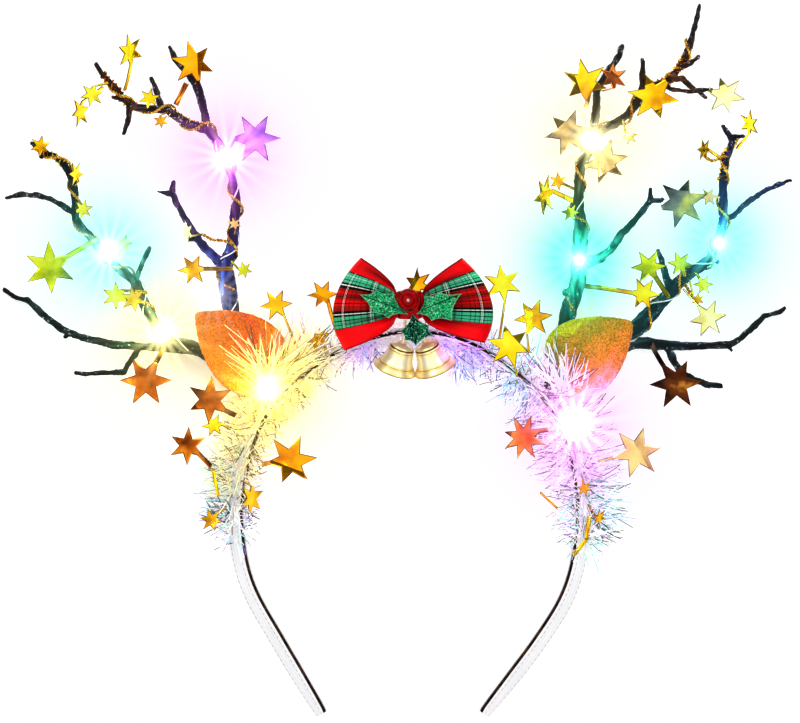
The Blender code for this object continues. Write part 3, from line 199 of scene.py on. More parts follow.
class NodeSheet:
    """A node tree, with one short call for each node that goes on it."""

    def __init__(self, tree: bpy.types.NodeTree) -> None:
        """Keeps the tree to write on: a material's, world's, effect's or compositor's."""
        self.tree = tree

    def add(self, kind: str, inputs: dict | None = None, **settings: object) -> Node:
        """Adds a node.

        Args:
            kind: the node's type name.
            inputs: a value or a socket for each named or numbered input.
            settings: the node's own settings.

        Returns:
            The new node.
        """
        node = self.tree.nodes.new(kind)
        for name, value in settings.items():
            setattr(node, name, value)
        self.fill(node, inputs or {})
        return node

    def fill(self, node: Node, inputs: dict) -> None:
        """Fills some of a node's inputs, each with a value or a socket."""
        for name, value in inputs.items():
            self.put(node.inputs[name], value)

    def put(self, target: Socket, value: object) -> None:
        """Joins a socket to an input, or writes a value there.

        Args:
            target: the input.
            value: the socket or the value.
        """
        if isinstance(value, Socket):
            self.tree.links.new(value, target)
        else:
            target.default_value = rgba(value) if target.type == "RGBA" else value

    def mix(self, share: object, low: object, high: object, blend: str = "MIX") -> Socket:
        """The mix of two colours in a blend, with some share of the second."""
        inputs = {0: share, 6: low, 7: high}
        return self.add("ShaderNodeMix", inputs, data_type="RGBA", blend_type=blend).outputs[2]

    def math(self, operation: str, first: object, second: object = 0.5, clamp: bool = False) -> Socket:
        """One sum on two numbers, kept between 0 and 1 where it is clamped."""
        kind = self.tree.bl_idname.removesuffix("Tree") + "Math"
        return self.add(kind, {0: first, 1: second}, operation=operation, use_clamp=clamp).outputs[0]

    def ramp(self, share: Socket, stops: Sequence[tuple[float, Colour]], steps: bool = False) -> Socket:
        """Colours along a number.

        Args:
            share: the number, from 0 to 1.
            stops: each colour and the place where it stands.
            steps: whether a colour holds up to the next place instead of blending.

        Returns:
            The colour's socket.
        """
        node = self.add("ShaderNodeValToRGB", {0: share})
        ramp = node.color_ramp
        ramp.interpolation = "CONSTANT" if steps else "LINEAR"
        ramp.elements.remove(ramp.elements[1])
        ramp.elements[0].position = stops[0][0]
        ramp.elements[0].color = rgba(stops[0][1])
        for place, colour in stops[1:]:
            ramp.elements.new(place).color = rgba(colour)
        return node.outputs[0]

    def span(self, value: Socket, low: float, high: float, start: float = 0.0, end: float = 1.0) -> Socket:
        """A number mapped from the range of low and high to that of start and end, and clamped."""
        return self.add("ShaderNodeMapRange", {0: value, 1: low, 2: high, 3: start, 4: end}).outputs[0]

    def object_place(self) -> Socket:
        """The surface's place in the frame."""
        return self.add("ShaderNodeTexCoord").outputs["Object"]

    def attribute(self, name: str, output: str = "Fac") -> Socket:
        """One of a mesh's own attributes, as a number, a colour or a vector."""
        return self.add("ShaderNodeAttribute", attribute_name=name).outputs[output]

    def effect(self, tree: bpy.types.NodeTree, inputs: dict) -> Node:
        """Places one of the shared effects, with the values or sockets that it takes."""
        return self.add("ShaderNodeGroup", inputs, node_tree=tree)

    def patches(self, place: Socket, scale: float, edge: float, low: Colour, high: Colour) -> Node:
        """Places the effect of two colours in soft patches, of a scale and a hardness of edge."""
        inputs = {"Place": place, "Scale": scale, "Edge": edge, "Low": low, "High": high}
        return self.effect(patches_effect(), inputs)

    def grain(self, place: Socket, scale: float, depth: float) -> Node:
        """Places the effect of a fine uneven surface, of a scale and a depth."""
        return self.effect(grain_effect(), {"Place": place, "Scale": scale, "Depth": depth})

    def bump(
        self, height: Socket, strength: object, distance: float, base: Socket | None = None
    ) -> Socket:
        """Bends a surface's normal by a height.

        Args:
            height: the height, as a share of the distance.
            strength: how strongly it shows.
            distance: the distance in metres.
            base: the normal to bend, or None for the surface's own.

        Returns:
            The bent normal's socket.
        """
        inputs = {"Height": height, "Strength": strength, "Distance": distance}
        if base is not None:
            inputs["Normal"] = base
        return self.add("ShaderNodeBump", inputs).outputs["Normal"]


# The kinds of the shared effects' sockets, by name; the others are plain numbers
SOCKET_KINDS = {
    "Place": "NodeSocketVector", "Normal": "NodeSocketVector", "Colour": "NodeSocketColor",
    "Low": "NodeSocketColor", "High": "NodeSocketColor",
}


def effect_sheet(name: str, takes: Sequence[str], gives: Sequence[str]) -> tuple[NodeSheet, Node, Node]:
    """A new node group and its two end nodes.

    Args:
        name: the group's name.
        takes: its inputs.
        gives: its outputs.

    Returns:
        The sheet, the node that holds the inputs and the node that takes the outputs.
    """
    tree = bpy.data.node_groups.new(name, "ShaderNodeTree")
    for labels, end in ((takes, "INPUT"), (gives, "OUTPUT")):
        for label in labels:
            kind = SOCKET_KINDS.get(label, "NodeSocketFloat")
            tree.interface.new_socket(label, in_out=end, socket_type=kind)
    sheet = NodeSheet(tree)
    return sheet, sheet.add("NodeGroupInput"), sheet.add("NodeGroupOutput")


@functools.cache
def patches_effect() -> bpy.types.NodeTree:
    """The node group of two colours in soft uneven patches."""
    takes = ("Place", "Scale", "Edge", "Low", "High")
    sheet, given, result = effect_sheet("patches", takes, ("Colour", "Mask"))
    cloud = sheet.add("ShaderNodeTexNoise", {
        "Vector": given.outputs["Place"], "Scale": given.outputs["Scale"], "Detail": 3.0,
    })
    away = sheet.math("SUBTRACT", cloud.outputs["Fac"], 0.5)
    mask = sheet.math("ADD", sheet.math("MULTIPLY", away, given.outputs["Edge"]), 0.5, clamp=True)
    colour = sheet.mix(mask, given.outputs["Low"], given.outputs["High"])
    sheet.fill(result, {"Mask": mask, "Colour": colour})
    return sheet.tree


@functools.cache
def grain_effect() -> bpy.types.NodeTree:
    """The node group of a fine uneven surface."""
    sheet, given, result = effect_sheet("grain", ("Place", "Scale", "Depth"), ("Normal", "Mask"))
    cloud = sheet.add("ShaderNodeTexNoise", {
        "Vector": given.outputs["Place"], "Scale": given.outputs["Scale"], "Detail": 4.0,
        "Roughness": 0.65,
    })
    height = cloud.outputs["Fac"]
    sheet.fill(result, {"Mask": height, "Normal": sheet.bump(height, given.outputs["Depth"], MM)})
    return sheet.tree


@functools.cache
def glitter_effect() -> bpy.types.NodeTree:
    """The node group of small flakes, each with a brightness and a tilt of its own."""
    sheet, given, result = effect_sheet("glitter", ("Place", "Scale", "Tilt"), ("Flake", "Normal"))
    cells = sheet.add("ShaderNodeTexVoronoi", {
        "Vector": given.outputs["Place"], "Scale": given.outputs["Scale"],
    })
    parts = sheet.add("ShaderNodeSeparateColor", {0: cells.outputs["Color"]})
    height = sheet.math("MULTIPLY", parts.outputs[1], cells.outputs["Distance"])
    bump = sheet.bump(height, given.outputs["Tilt"], MM)
    sheet.fill(result, {"Flake": parts.outputs[0], "Normal": bump})
    return sheet.tree


@dataclass(frozen=True)
class Finish:
    """A finish: its name, the record's slot and the shader's plain values."""

    name: str
    slot: str
    roughness: float = 0.5
    metallic: float = 0.0

    def material(self) -> bpy.types.Material:
        """The finish's material, made once."""
        made = bpy.data.materials.get(self.name)
        if made is not None:
            return made
        material = bpy.data.materials.new(self.name)
        material.use_nodes = True
        sheet = NodeSheet(material.node_tree)
        shader = material.node_tree.nodes["Principled BSDF"]
        sheet.fill(shader, {"Roughness": self.roughness, "Metallic": self.metallic})
        self.dress(sheet, shader)
        return material

    def dress(self, sheet: NodeSheet, shader: Node) -> None:
        """Adds what sets this finish apart.

        Args:
            sheet: the material's node sheet.
            shader: its Principled BSDF.
        """
        raise NotImplementedError(self.name)


@dataclass(frozen=True)
class TwigPlastic(Finish):
    """Near-black moulded plastic, paler on its ridges by painted sheen in cold and warm stretches, with
    painted bulb light and painted glints.
    """

    def dress(self, sheet: NodeSheet, shader: Node) -> None:
        """Adds the painted ridge sheen in its stretches of colour, the painted light of the bulbs, the
        ridges' gloss, and the pits with their painted glints.
        """
        place = sheet.object_place()
        stretch = sheet.patches(place, 26.0, 3.0, (0.0, 0.0, 0.0), (1.0, 1.0, 1.0))
        # Painted sheen: the ridges are paler than the plastic, cold in some stretches and warm in others,
        # where light would catch them
        painted_ridge_sheen = sheet.ramp(stretch.outputs["Mask"], [
            (0.10, (0.055, 0.028, 0.018)), (0.45, (0.030, 0.026, 0.034)), (0.80, (0.012, 0.040, 0.040)),
        ])
        crest = sheet.span(sheet.attribute("bark"), 0.48, 0.95)
        colour = sheet.mix(crest, (0.0015, 0.0015, 0.0020), painted_ridge_sheen)
        # Painted light: the colour of the nearby bulbs is added to the plastic, most on the ridges
        lit_share = sheet.span(crest, 0.0, 1.0, 0.25, 1.0)
        colour = sheet.mix(lit_share, colour, sheet.attribute("painted_light_spill", "Color"), "ADD")
        pits = sheet.effect(glitter_effect(), {"Place": place, "Scale": 1500.0, "Tilt": 0.45})
        # Painted glints: pale flecks on the ridges' pits stand in for sparkles of light
        painted_glint = sheet.math("GREATER_THAN", pits.outputs["Flake"], 0.93)
        painted_glint = sheet.math("MULTIPLY", painted_glint, crest)
        sheet.fill(shader, {
            "Base Color": sheet.mix(painted_glint, colour, (0.42, 0.55, 0.62)),
            "Roughness": sheet.span(crest, 0.0, 1.0, 0.55, self.roughness),
            "Normal": pits.outputs["Normal"], "Specular IOR Level": 0.22,
        })


@dataclass(frozen=True)
class RibbonCloth(Finish):
    """White ribbon with fine ribs along it and a line of stitches along each edge."""

    half_width: float = 4.5
    rib_pitch: float = 1.7
    stitch_inset: float = 1.1
    stitch_half: float = 0.24
    stitch_pitch: float = 2.1
    stitch_share: float = 0.55
    stitch_tone: Colour = (0.52, 0.52, 0.54)
    # Painted glow: the white cloth gives off a little light of its own, to stay white where it tilts away
    # from the light
    glow: float = 0.045

    def dress(self, sheet: NodeSheet, shader: Node) -> None:
        """Adds the ribs and the stitches, which follow the ribbon's own length and width, and a faint
        painted glow.
        """
        run = sheet.add("ShaderNodeSeparateXYZ", {0: sheet.attribute("run_mm", "Vector")})
        along = run.outputs["X"]
        across = sheet.math("ABSOLUTE", run.outputs["Y"])
        rib = sheet.math("SINE", sheet.math("MULTIPLY", across, tau / self.rib_pitch))
        rib_share = sheet.math("ADD", sheet.math("MULTIPLY", rib, 0.5), 0.5)
        from_line = sheet.math("SUBTRACT", across, self.half_width - self.stitch_inset)
        from_edge = sheet.math("ABSOLUTE", from_line)
        in_line = sheet.math("LESS_THAN", from_edge, self.stitch_half)
        turn = sheet.math("FRACT", sheet.math("DIVIDE", along, self.stitch_pitch))
        dash = sheet.math("LESS_THAN", turn, self.stitch_share)
        stitch = sheet.math("MULTIPLY", in_line, dash)
        cloth = sheet.mix(rib_share, (0.90, 0.90, 0.92), (1.0, 1.0, 1.0))
        soil = sheet.patches(sheet.object_place(), 120.0, 2.0, (0.92, 0.92, 0.95), (1.0, 1.0, 1.0))
        cloth = sheet.mix(1.0, cloth, soil.outputs["Colour"], "MULTIPLY")
        height = sheet.math("ADD", rib_share, sheet.math("MULTIPLY", stitch, 1.5))
        bump = sheet.bump(height, 0.6, 0.12 * MM)
        sheet.fill(shader, {
            "Base Color": sheet.mix(stitch, cloth, self.stitch_tone), "Normal": bump,
            "Sheen Weight": 0.25, "Emission Color": (1.0, 1.0, 1.0), "Emission Strength": self.glow,
        })


@dataclass(frozen=True)
class WornMetal(Finish):
    """Metal in two tones with fine scuffs."""

    low: Colour = (0.2, 0.1, 0.05)
    high: Colour = (0.7, 0.45, 0.2)
    scale: float = 160.0

    def dress(self, sheet: NodeSheet, shader: Node) -> None:
        """Adds the two tones and the scuffs."""
        place = sheet.object_place()
        tone = sheet.patches(place, self.scale, 3.0, self.low, self.high)
        grain = sheet.grain(place, 900.0, 0.15)
        sheet.fill(shader, {"Base Color": tone.outputs["Colour"], "Normal": grain.outputs["Normal"]})


@dataclass(frozen=True)
class Felt(Finish):
    """Felt whose dye runs through several tones along one direction."""

    start: Row = (0.0, 0.0, 0.0)
    end: Row = (1.0, 0.0, 0.0)
    tones: tuple[tuple[float, Colour], ...] = ()

    def dress(self, sheet: NodeSheet, shader: Node) -> None:
        """Adds the dye, and the matted fibres with painted shade in their hollows and painted light on their
        tops.
        """
        place = sheet.object_place()
        way = vector(self.end) - vector(self.start)
        offset = sheet.add("ShaderNodeVectorMath", {0: place, 1: vector(self.start) * MM},
                           operation="SUBTRACT")
        along = sheet.add("ShaderNodeVectorMath", {
            0: offset.outputs[0], 1: way * (PER_MM / way.length_squared),
        }, operation="DOT_PRODUCT")
        blotch = sheet.patches(place, 210.0, 2.2, (0.88, 0.72, 0.66), (1.12, 1.10, 1.06))
        drift = sheet.math("MULTIPLY", sheet.math("SUBTRACT", blotch.outputs["Mask"], 0.5), 0.34)
        dye_and_painted_light = sheet.ramp(sheet.math("ADD", along.outputs["Value"], drift, clamp=True), self.tones)
        dye_and_painted_light = sheet.mix(0.75, dye_and_painted_light, blotch.outputs["Colour"], "MULTIPLY")
        # Painted shade and light: the fibres' hollows are darker and their tops paler than the dye,
        # following the same height as their bump
        fibre = sheet.grain(place, 1500.0, 1.0)
        dark = sheet.span(fibre.outputs["Mask"], 0.36, 0.58, 0.50, 1.22)
        shade = sheet.add("ShaderNodeCombineColor", {0: dark, 1: dark, 2: dark})
        dye_and_painted_light = sheet.mix(1.0, dye_and_painted_light, shade.outputs[0], "MULTIPLY")
        sheet.fill(shader, {
            "Base Color": dye_and_painted_light, "Normal": fibre.outputs["Normal"], "Specular IOR Level": 0.15,
            "Sheen Weight": 0.12, "Sheen Roughness": 0.4,
        })


@dataclass(frozen=True)
class Film(Finish):
    """Thin film strands, each with a tint of its own that also carries painted bulb light, and a painted
    glow.
    """

    def dress(self, sheet: NodeSheet, shader: Node) -> None:
        """Adds the strands' tints with their painted light, a painted glow in the same tint, and their
        gleam.
        """
        tint = sheet.attribute("film_tint_and_painted_light", "Color")
        # Painted glow: each strand emits its own tint, so that its shaded sides stay pale
        sheet.fill(shader, {
            "Base Color": tint, "Emission Color": tint, "Emission Strength": 0.40, "Coat Weight": 0.6,
            "Coat Roughness": 0.1,
        })


RED: Colour = (0.90, 0.0, 0.006)
DEEP_RED: Colour = (0.42, 0.006, 0.004)
MINT: Colour = (0.06, 0.60, 0.32)
BLACK: Colour = (0.002, 0.003, 0.003)
WHITE: Colour = (0.90, 0.96, 0.92)
PLAIN: Colour = (1.0, 1.0, 1.0)
DIM: Colour = (0.14, 0.12, 0.12)

# The ribbon's colours across its width, from its lower to its upper edge
TARTAN_WIDTH_STOPS: list[tuple[float, Colour]] = [
    (0.0, RED), (0.215, BLACK), (0.225, MINT), (0.255, BLACK), (0.265, MINT), (0.30, BLACK),
    (0.31, MINT), (0.35, BLACK), (0.372, WHITE), (0.385, BLACK), (0.415, DEEP_RED), (0.475, RED),
    (0.50, BLACK), (0.508, RED), (0.545, DEEP_RED), (0.575, BLACK), (0.583, DEEP_RED), (0.62, RED),
    (0.64, DEEP_RED), (0.675, BLACK), (0.705, WHITE), (0.718, BLACK), (0.738, MINT), (0.765, BLACK),
    (0.773, MINT), (0.805, WHITE), (0.812, MINT), (0.838, BLACK), (0.85, RED),
]
# The tartan's dark and pale cross stripes, along the ribbon's length
TARTAN_DARK_STOPS: list[tuple[float, Colour]] = [
    (0.0, PLAIN), (0.12, DIM), (0.16, PLAIN), (0.30, DIM), (0.36, PLAIN), (0.50, DIM), (0.56, PLAIN),
    (0.70, DIM), (0.74, PLAIN), (0.86, DIM), (0.90, PLAIN),
]
TARTAN_PALE_STOPS: list[tuple[float, Colour]] = [
    (0.0, BLACK), (0.40, WHITE), (0.43, BLACK), (0.47, WHITE), (0.49, BLACK),
]


@dataclass(frozen=True)
class TartanSatin(Finish):
    """Red satin ribbon with a woven tartan between its two plain bands."""

    repeats: float = 5.0
    tartan_from: float = 0.225
    tartan_to: float = 0.85
    ribbon_length: float = 74.0
    ribbon_width: float = 35.0
    thread: float = 1.15
    painted_fold_shade: Colour = (0.035, 0.0, 0.002)

    def dress(self, sheet: NodeSheet, shader: Node) -> None:
        """Adds the stripes, the threads and the satin's gleam, which follow the ribbon's UV map, and the
        painted shade of the folds.
        """
        ribbon = sheet.add("ShaderNodeUVMap", uv_map="ribbon")
        parts = sheet.add("ShaderNodeSeparateXYZ", {0: ribbon.outputs[0]})
        u = parts.outputs["X"]
        v = parts.outputs["Y"]
        width_stripes = sheet.ramp(v, TARTAN_WIDTH_STOPS, steps=True)
        turn = sheet.math("FRACT", sheet.math("MULTIPLY", u, self.repeats))
        dark_stripes = sheet.ramp(turn, TARTAN_DARK_STOPS, steps=True)
        pale_stripes = sheet.ramp(turn, TARTAN_PALE_STOPS, steps=True)
        warp = sheet.math("SINE", sheet.math("MULTIPLY", u, tau * self.ribbon_length / self.thread))
        weft = sheet.math("SINE", sheet.math("MULTIPLY", v, tau * self.ribbon_width / self.thread))
        woven = sheet.math("MULTIPLY", warp, weft)
        twill = sheet.math("GREATER_THAN", woven, 0.0)
        in_tartan = sheet.math("MULTIPLY", sheet.math("GREATER_THAN", v, self.tartan_from),
                               sheet.math("LESS_THAN", v, self.tartan_to))
        share = sheet.math("MULTIPLY", in_tartan, sheet.span(twill, 0.0, 1.0, 0.30, 0.92))
        cloth = sheet.mix(share, width_stripes, dark_stripes, "MULTIPLY")
        cloth = sheet.mix(share, cloth, pale_stripes, "LIGHTEN")
        # Painted shade: the shade attribute darkens the pleat valleys near the knot, the loop's far fold,
        # the rims and the knot
        cloth = sheet.mix(sheet.attribute("shade"), cloth, self.painted_fold_shade)
        soft = sheet.patches(sheet.object_place(), 70.0, 2.0, (0.72, 0.66, 0.66), (1.12, 1.0, 1.0))
        cloth = sheet.mix(1.0, cloth, soft.outputs["Colour"], "MULTIPLY")
        bump = sheet.bump(woven, sheet.span(in_tartan, 0.0, 1.0, 0.06, 0.4), 0.1 * MM)
        sheet.fill(shader, {
            "Base Color": cloth, "Roughness": sheet.span(in_tartan, 0.0, 1.0, self.roughness, 0.6),
            "Normal": bump, "Specular IOR Level": 0.10,
        })


@dataclass(frozen=True)
class GlitterLeaf(Finish):
    """Cloth leaf under clotted green glitter, dark between the clots, with a pale bare rim."""

    dark: Colour = (0.0, 0.008, 0.004)
    low: Colour = (0.016, 0.40, 0.15)
    bright: Colour = (0.05, 0.86, 0.34)
    rim_tone: Colour = (0.20, 0.74, 0.36)
    clots: float = 760.0
    crack: float = 0.014

    def dress(self, sheet: NodeSheet, shader: Node) -> None:
        """Adds the clots, their flakes, the midrib and the rim."""
        place = sheet.object_place()
        wander = sheet.add("ShaderNodeTexNoise", {"Vector": place, "Scale": self.clots, "Detail": 1.0})
        away = sheet.math("ABSOLUTE", sheet.math("SUBTRACT", wander.outputs["Fac"], 0.5))
        clot = sheet.span(away, self.crack, self.crack + 0.022)
        flakes = sheet.effect(glitter_effect(), {"Place": place, "Scale": 2600.0, "Tilt": 0.9})
        green = sheet.ramp(flakes.outputs["Flake"], [
            (0.0, self.low), (0.35, self.low), (0.55, self.bright), (0.85, self.bright),
            (0.93, (0.35, 0.95, 0.60)), (1.0, (0.9, 1.0, 0.92)),
        ])
        green = sheet.mix(clot, self.dark, green)
        green = sheet.mix(sheet.span(sheet.attribute("midrib"), 0.3, 0.9), green, self.dark)
        rim = sheet.span(sheet.attribute("rim"), 0.60, 0.85)
        bump = sheet.bump(clot, 0.8, 0.25 * MM, flakes.outputs["Normal"])
        sheet.fill(shader, {
            "Base Color": sheet.mix(rim, green, self.rim_tone), "Normal": bump, "Specular IOR Level": 0.12,
        })


@dataclass(frozen=True)
class Lacquer(Finish):
    """Deep glossy lacquer with small dimples."""

    low: Colour = (0.12, 0.0, 0.0)
    high: Colour = (0.58, 0.0, 0.003)

    def dress(self, sheet: NodeSheet, shader: Node) -> None:
        """Adds the tones, the painted shade in the creases, the painted highlight on the tip and the
        dimples.
        """
        place = sheet.object_place()
        tone = sheet.patches(place, 240.0, 2.4, self.low, self.high)
        grain = sheet.grain(place, 420.0, 0.2)
        # Painted shade in the ring creases
        colour = sheet.mix(sheet.attribute("crease"), tone.outputs["Colour"], (0.030, 0.0, 0.0))
        # Painted highlight: a pale spot on the berry's tip
        colour = sheet.mix(sheet.attribute("tip"), colour, (1.0, 0.62, 0.56))
        sheet.fill(shader, {
            "Base Color": colour, "Normal": grain.outputs["Normal"], "Specular IOR Level": 0.06,
        })


@dataclass(frozen=True)
class BellGilt(Finish):
    """Polished gilt, with painted shade in the turned grooves, at the lip and inside the mouth, edged by a
    deeper gold.
    """

    def dress(self, sheet: NodeSheet, shader: Node) -> None:
        """Adds the deeper gold and the painted shade, from the groove shade attribute, and light polishing
        marks.
        """
        place = sheet.object_place()
        tone = sheet.patches(place, 130.0, 2.0, (1.0, 0.86, 0.44), (1.0, 0.97, 0.80))
        depth = sheet.attribute("groove_shade")
        colour = sheet.mix(sheet.span(depth, 0.02, 0.25), tone.outputs["Colour"], (1.0, 0.76, 0.26))
        # Painted shade in the grooves, at the lip and inside the mouth
        colour = sheet.mix(sheet.span(depth, 0.40, 0.85), colour, (0.07, 0.022, 0.006))
        grain = sheet.grain(place, 260.0, 0.06)
        sheet.fill(shader, {"Base Color": colour, "Normal": grain.outputs["Normal"]})


@dataclass(frozen=True)
class StarFoil(Finish):
    """Mirror foil with painted reflections in a low, a middle and a high tone, and a dark cut rim."""

    low: Colour = (0.30, 0.12, 0.02)
    middle: Colour = (0.95, 0.52, 0.04)
    high: Colour = (1.0, 0.86, 0.22)
    rim_tone: Colour = (0.10, 0.045, 0.008)

    def dress(self, sheet: NodeSheet, shader: Node) -> None:
        """Adds the tones of the painted reflections and the fine crumples."""
        place = sheet.object_place()
        # Painted reflections: soft patches of the three tones stand for what the foil mirrors
        tone = sheet.patches(place, 85.0, 2.3, (0.0, 0.0, 0.0), (1.0, 1.0, 1.0))
        colour = sheet.ramp(tone.outputs["Mask"], [(0.06, self.low), (0.42, self.middle), (0.88, self.high)])
        grain = sheet.grain(place, 240.0, 0.12)
        colour = sheet.mix(sheet.span(sheet.attribute("rim"), 0.30, 0.85), colour, self.rim_tone)
        sheet.fill(shader, {"Base Color": colour, "Normal": grain.outputs["Normal"]})


@dataclass(frozen=True)
class LitBulb(Finish):
    """A lit bulb's clear plastic."""

    glow: Colour = (1.0, 1.0, 1.0)
    strength: float = 1.0

    def dress(self, sheet: NodeSheet, shader: Node) -> None:
        """Adds the glow, a little uneven over the bulb."""
        pale = tuple(0.2 + 0.8 * part for part in self.glow)
        light = sheet.patches(sheet.object_place(), 500.0, 1.2, self.glow, pale)
        sheet.fill(shader, {
            "Base Color": light.outputs["Colour"], "Emission Color": light.outputs["Colour"],
            "Emission Strength": self.strength,
        })


TWIG = TwigPlastic("twig_plastic", "twig_black", 0.35)
RIBBON = RibbonCloth("ribbon_cloth", "ribbon_white", 0.6)
STRIP = WornMetal("strip_brass", "strip_metal", 0.4, 1.0, (0.003, 0.002, 0.002), (0.07, 0.035, 0.015), 420.0)
FILM = Film("film_strands", "tinsel_film", 0.22)
TARTAN = TartanSatin("tartan_satin", "tartan", 0.42)
LEAF = GlitterLeaf("leaf_clots", "leaf_glitter", 0.5)
DARK_LEAF = GlitterLeaf("leaf_dark", "leaf_glitter", 0.5, 0.0, (0.0, 0.003, 0.002), (0.0, 0.10, 0.05),
                        (0.02, 0.42, 0.22), (0.30, 0.46, 0.34), 700.0, 0.035)
BERRY = Lacquer("berry_lacquer", "berry_red", 0.22)
GILT = BellGilt("bell_gilt", "bell_gold", 0.28, 0.55)
GILT_WIRE = WornMetal("gilt_twist", "star_foil", 0.25, 1.0, (0.42, 0.14, 0.01), (1.0, 0.76, 0.14), 420.0)
CLEAR_WIRE = WornMetal("wire_coating", "light_wire", 0.25, 0.0, (0.7, 0.7, 0.74), (1.0, 1.0, 1.0), 300.0)


def star_foil(name: str, low: Colour, middle: Colour, high: Colour) -> StarFoil:
    """The finish of one foil."""
    return StarFoil(name, "star_foil", 0.16, 1.0, low, middle, high)


class FoilTone(Enum):
    """The tones that the foil stars show: each foil's low, middle and high colour, as painted reflections;
    LILAC and LIME also hold the painted light of a nearby bulb.
    """

    LEMON = star_foil("foil_lemon", (0.74, 0.32, 0.006), (1.0, 0.68, 0.008), (1.0, 0.88, 0.05))
    GOLD = star_foil("foil_gold", (0.50, 0.20, 0.012), (0.90, 0.48, 0.014), (1.0, 0.74, 0.05))
    AMBER = star_foil("foil_amber", (0.70, 0.22, 0.008), (1.0, 0.44, 0.008), (1.0, 0.62, 0.02))
    LIME = star_foil("foil_lime", (0.20, 0.30, 0.010), (0.62, 0.68, 0.015), (0.95, 0.92, 0.05))
    PALE = star_foil("foil_pale", (0.90, 0.74, 0.16), (0.98, 0.92, 0.34), (1.0, 1.0, 0.62))
    ORANGE = star_foil("foil_orange", (0.40, 0.04, 0.012), (0.84, 0.13, 0.022), (1.0, 0.40, 0.09))
    COPPER = star_foil("foil_copper", (0.12, 0.025, 0.005), (0.58, 0.15, 0.010), (1.0, 0.44, 0.04))
    DARK = star_foil("foil_dark", (0.95, 0.42, 0.06), (0.16, 0.045, 0.012), (0.018, 0.007, 0.005))
    OLIVE = star_foil("foil_olive", (0.07, 0.085, 0.10), (0.20, 0.24, 0.20), (0.95, 0.86, 0.10))
    DUSK = star_foil("foil_dusk", (0.16, 0.17, 0.22), (0.62, 0.46, 0.22), (1.0, 0.84, 0.40))
    LILAC = star_foil("foil_lilac", (0.14, 0.05, 0.42), (0.42, 0.15, 0.76), (0.86, 0.46, 0.96))
    ROSE = star_foil("foil_rose", (0.88, 0.44, 0.40), (0.98, 0.68, 0.24), (1.0, 0.84, 0.36))


LEMON, GOLD, AMBER, LIME, PALE, ORANGE, COPPER, DARK, OLIVE, DUSK, LILAC, ROSE = FoilTone


def placed(name: str, data: bpy.types.ID) -> bpy.types.Object:
    """A new object in the scene.

    Args:
        name: its name.
        data: its mesh, curve, camera or light.

    Returns:
        The object.
    """
    item = bpy.data.objects.new(name, data)
    bpy.context.collection.objects.link(item)
    return item


def evaluated(carrier: bpy.types.Object) -> Mesh:
    """The mesh that an object comes to with its modifiers; the object itself is removed.

    Args:
        carrier: the object.

    Returns:
        The mesh.
    """
    depsgraph = bpy.context.evaluated_depsgraph_get()
    mesh = bpy.data.meshes.new_from_object(carrier.evaluated_get(depsgraph))
    bpy.data.objects.remove(carrier)
    return mesh


def add_piece(
    name: str,
    mesh: Mesh,
    finish: Finish,
    stands_for: Sequence[str] = (),
    sharp_above: float | None = None,
) -> bpy.types.Object:
    """Puts a finished mesh into the scene as a piece of the headband.

    Args:
        name: the piece's name.
        mesh: its mesh, in the frame's place.
        finish: its finish.
        stands_for: the CAD nodes that it replaces.
        sharp_above: the angle in degrees above which edges stay sharp, or None where all are smooth.

    Returns:
        The piece.
    """
    piece = placed(name, mesh)
    mesh.name = name
    mesh.materials.clear()
    mesh.materials.append(finish.material())
    mesh.shade_smooth()
    if sharp_above is not None:
        mesh.set_sharp_from_angle(angle=radians(sharp_above))
    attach(piece, BODY)
    if stands_for:
        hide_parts(*stands_for)
    LOG.info("%s: %d faces", name, len(mesh.polygons))
    return piece


def with_modifiers(mesh: Mesh, steps: Sequence[tuple[str, dict]]) -> Mesh:
    """A mesh after some modifiers.

    Args:
        mesh: the mesh to start from.
        steps: each modifier's type and settings.

    Returns:
        The new mesh.
    """
    carrier = placed("carrier", mesh)
    for kind, settings in steps:
        modifier = carrier.modifiers.new(kind.lower(), kind)
        for name, value in settings.items():
            setattr(modifier, name, value)
    return evaluated(carrier)


def walled(mesh: Mesh, thickness: float) -> Mesh:
    """A sheet with walls of a thickness in millimetres."""
    return with_modifiers(mesh, [("SOLIDIFY", {"thickness": thickness * MM, "offset": 0.0})])


def next_row(builder: BMesh, edges: Sequence[bmesh.types.BMEdge]) -> tuple[list, list]:
    """Draws a row of edges out into a new one.

    Args:
        builder: the bmesh.
        edges: the row.

    Returns:
        The new row's vertices and its edges, in the old row's order.
    """
    made = bmesh.ops.extrude_edge_only(builder, edges=edges)["geom"]
    kinds = (bmesh.types.BMVert, bmesh.types.BMEdge)
    verts, edges = ([item for item in made if isinstance(item, kind)] for kind in kinds)
    return verts, edges


def mesh_from(builder: BMesh, outward: bool = True) -> Mesh:
    """A mesh from a bmesh, which is freed.

    Args:
        builder: the bmesh.
        outward: whether the normals are recalculated to point out.

    Returns:
        The mesh.
    """
    if outward:
        bmesh.ops.recalc_face_normals(builder, faces=builder.faces)
    mesh = bpy.data.meshes.new("piece")
    builder.to_mesh(mesh)
    builder.free()
    return mesh


def merged(mesh: Mesh) -> BMesh:
    """A copy of a mesh with its doubled vertices merged.

    Args:
        mesh: the mesh.

    Returns:
        The copy.
    """
    builder = bmesh.new()
    builder.from_mesh(mesh)
    bmesh.ops.remove_doubles(builder, verts=builder.verts, dist=WELD * MM)
    return builder


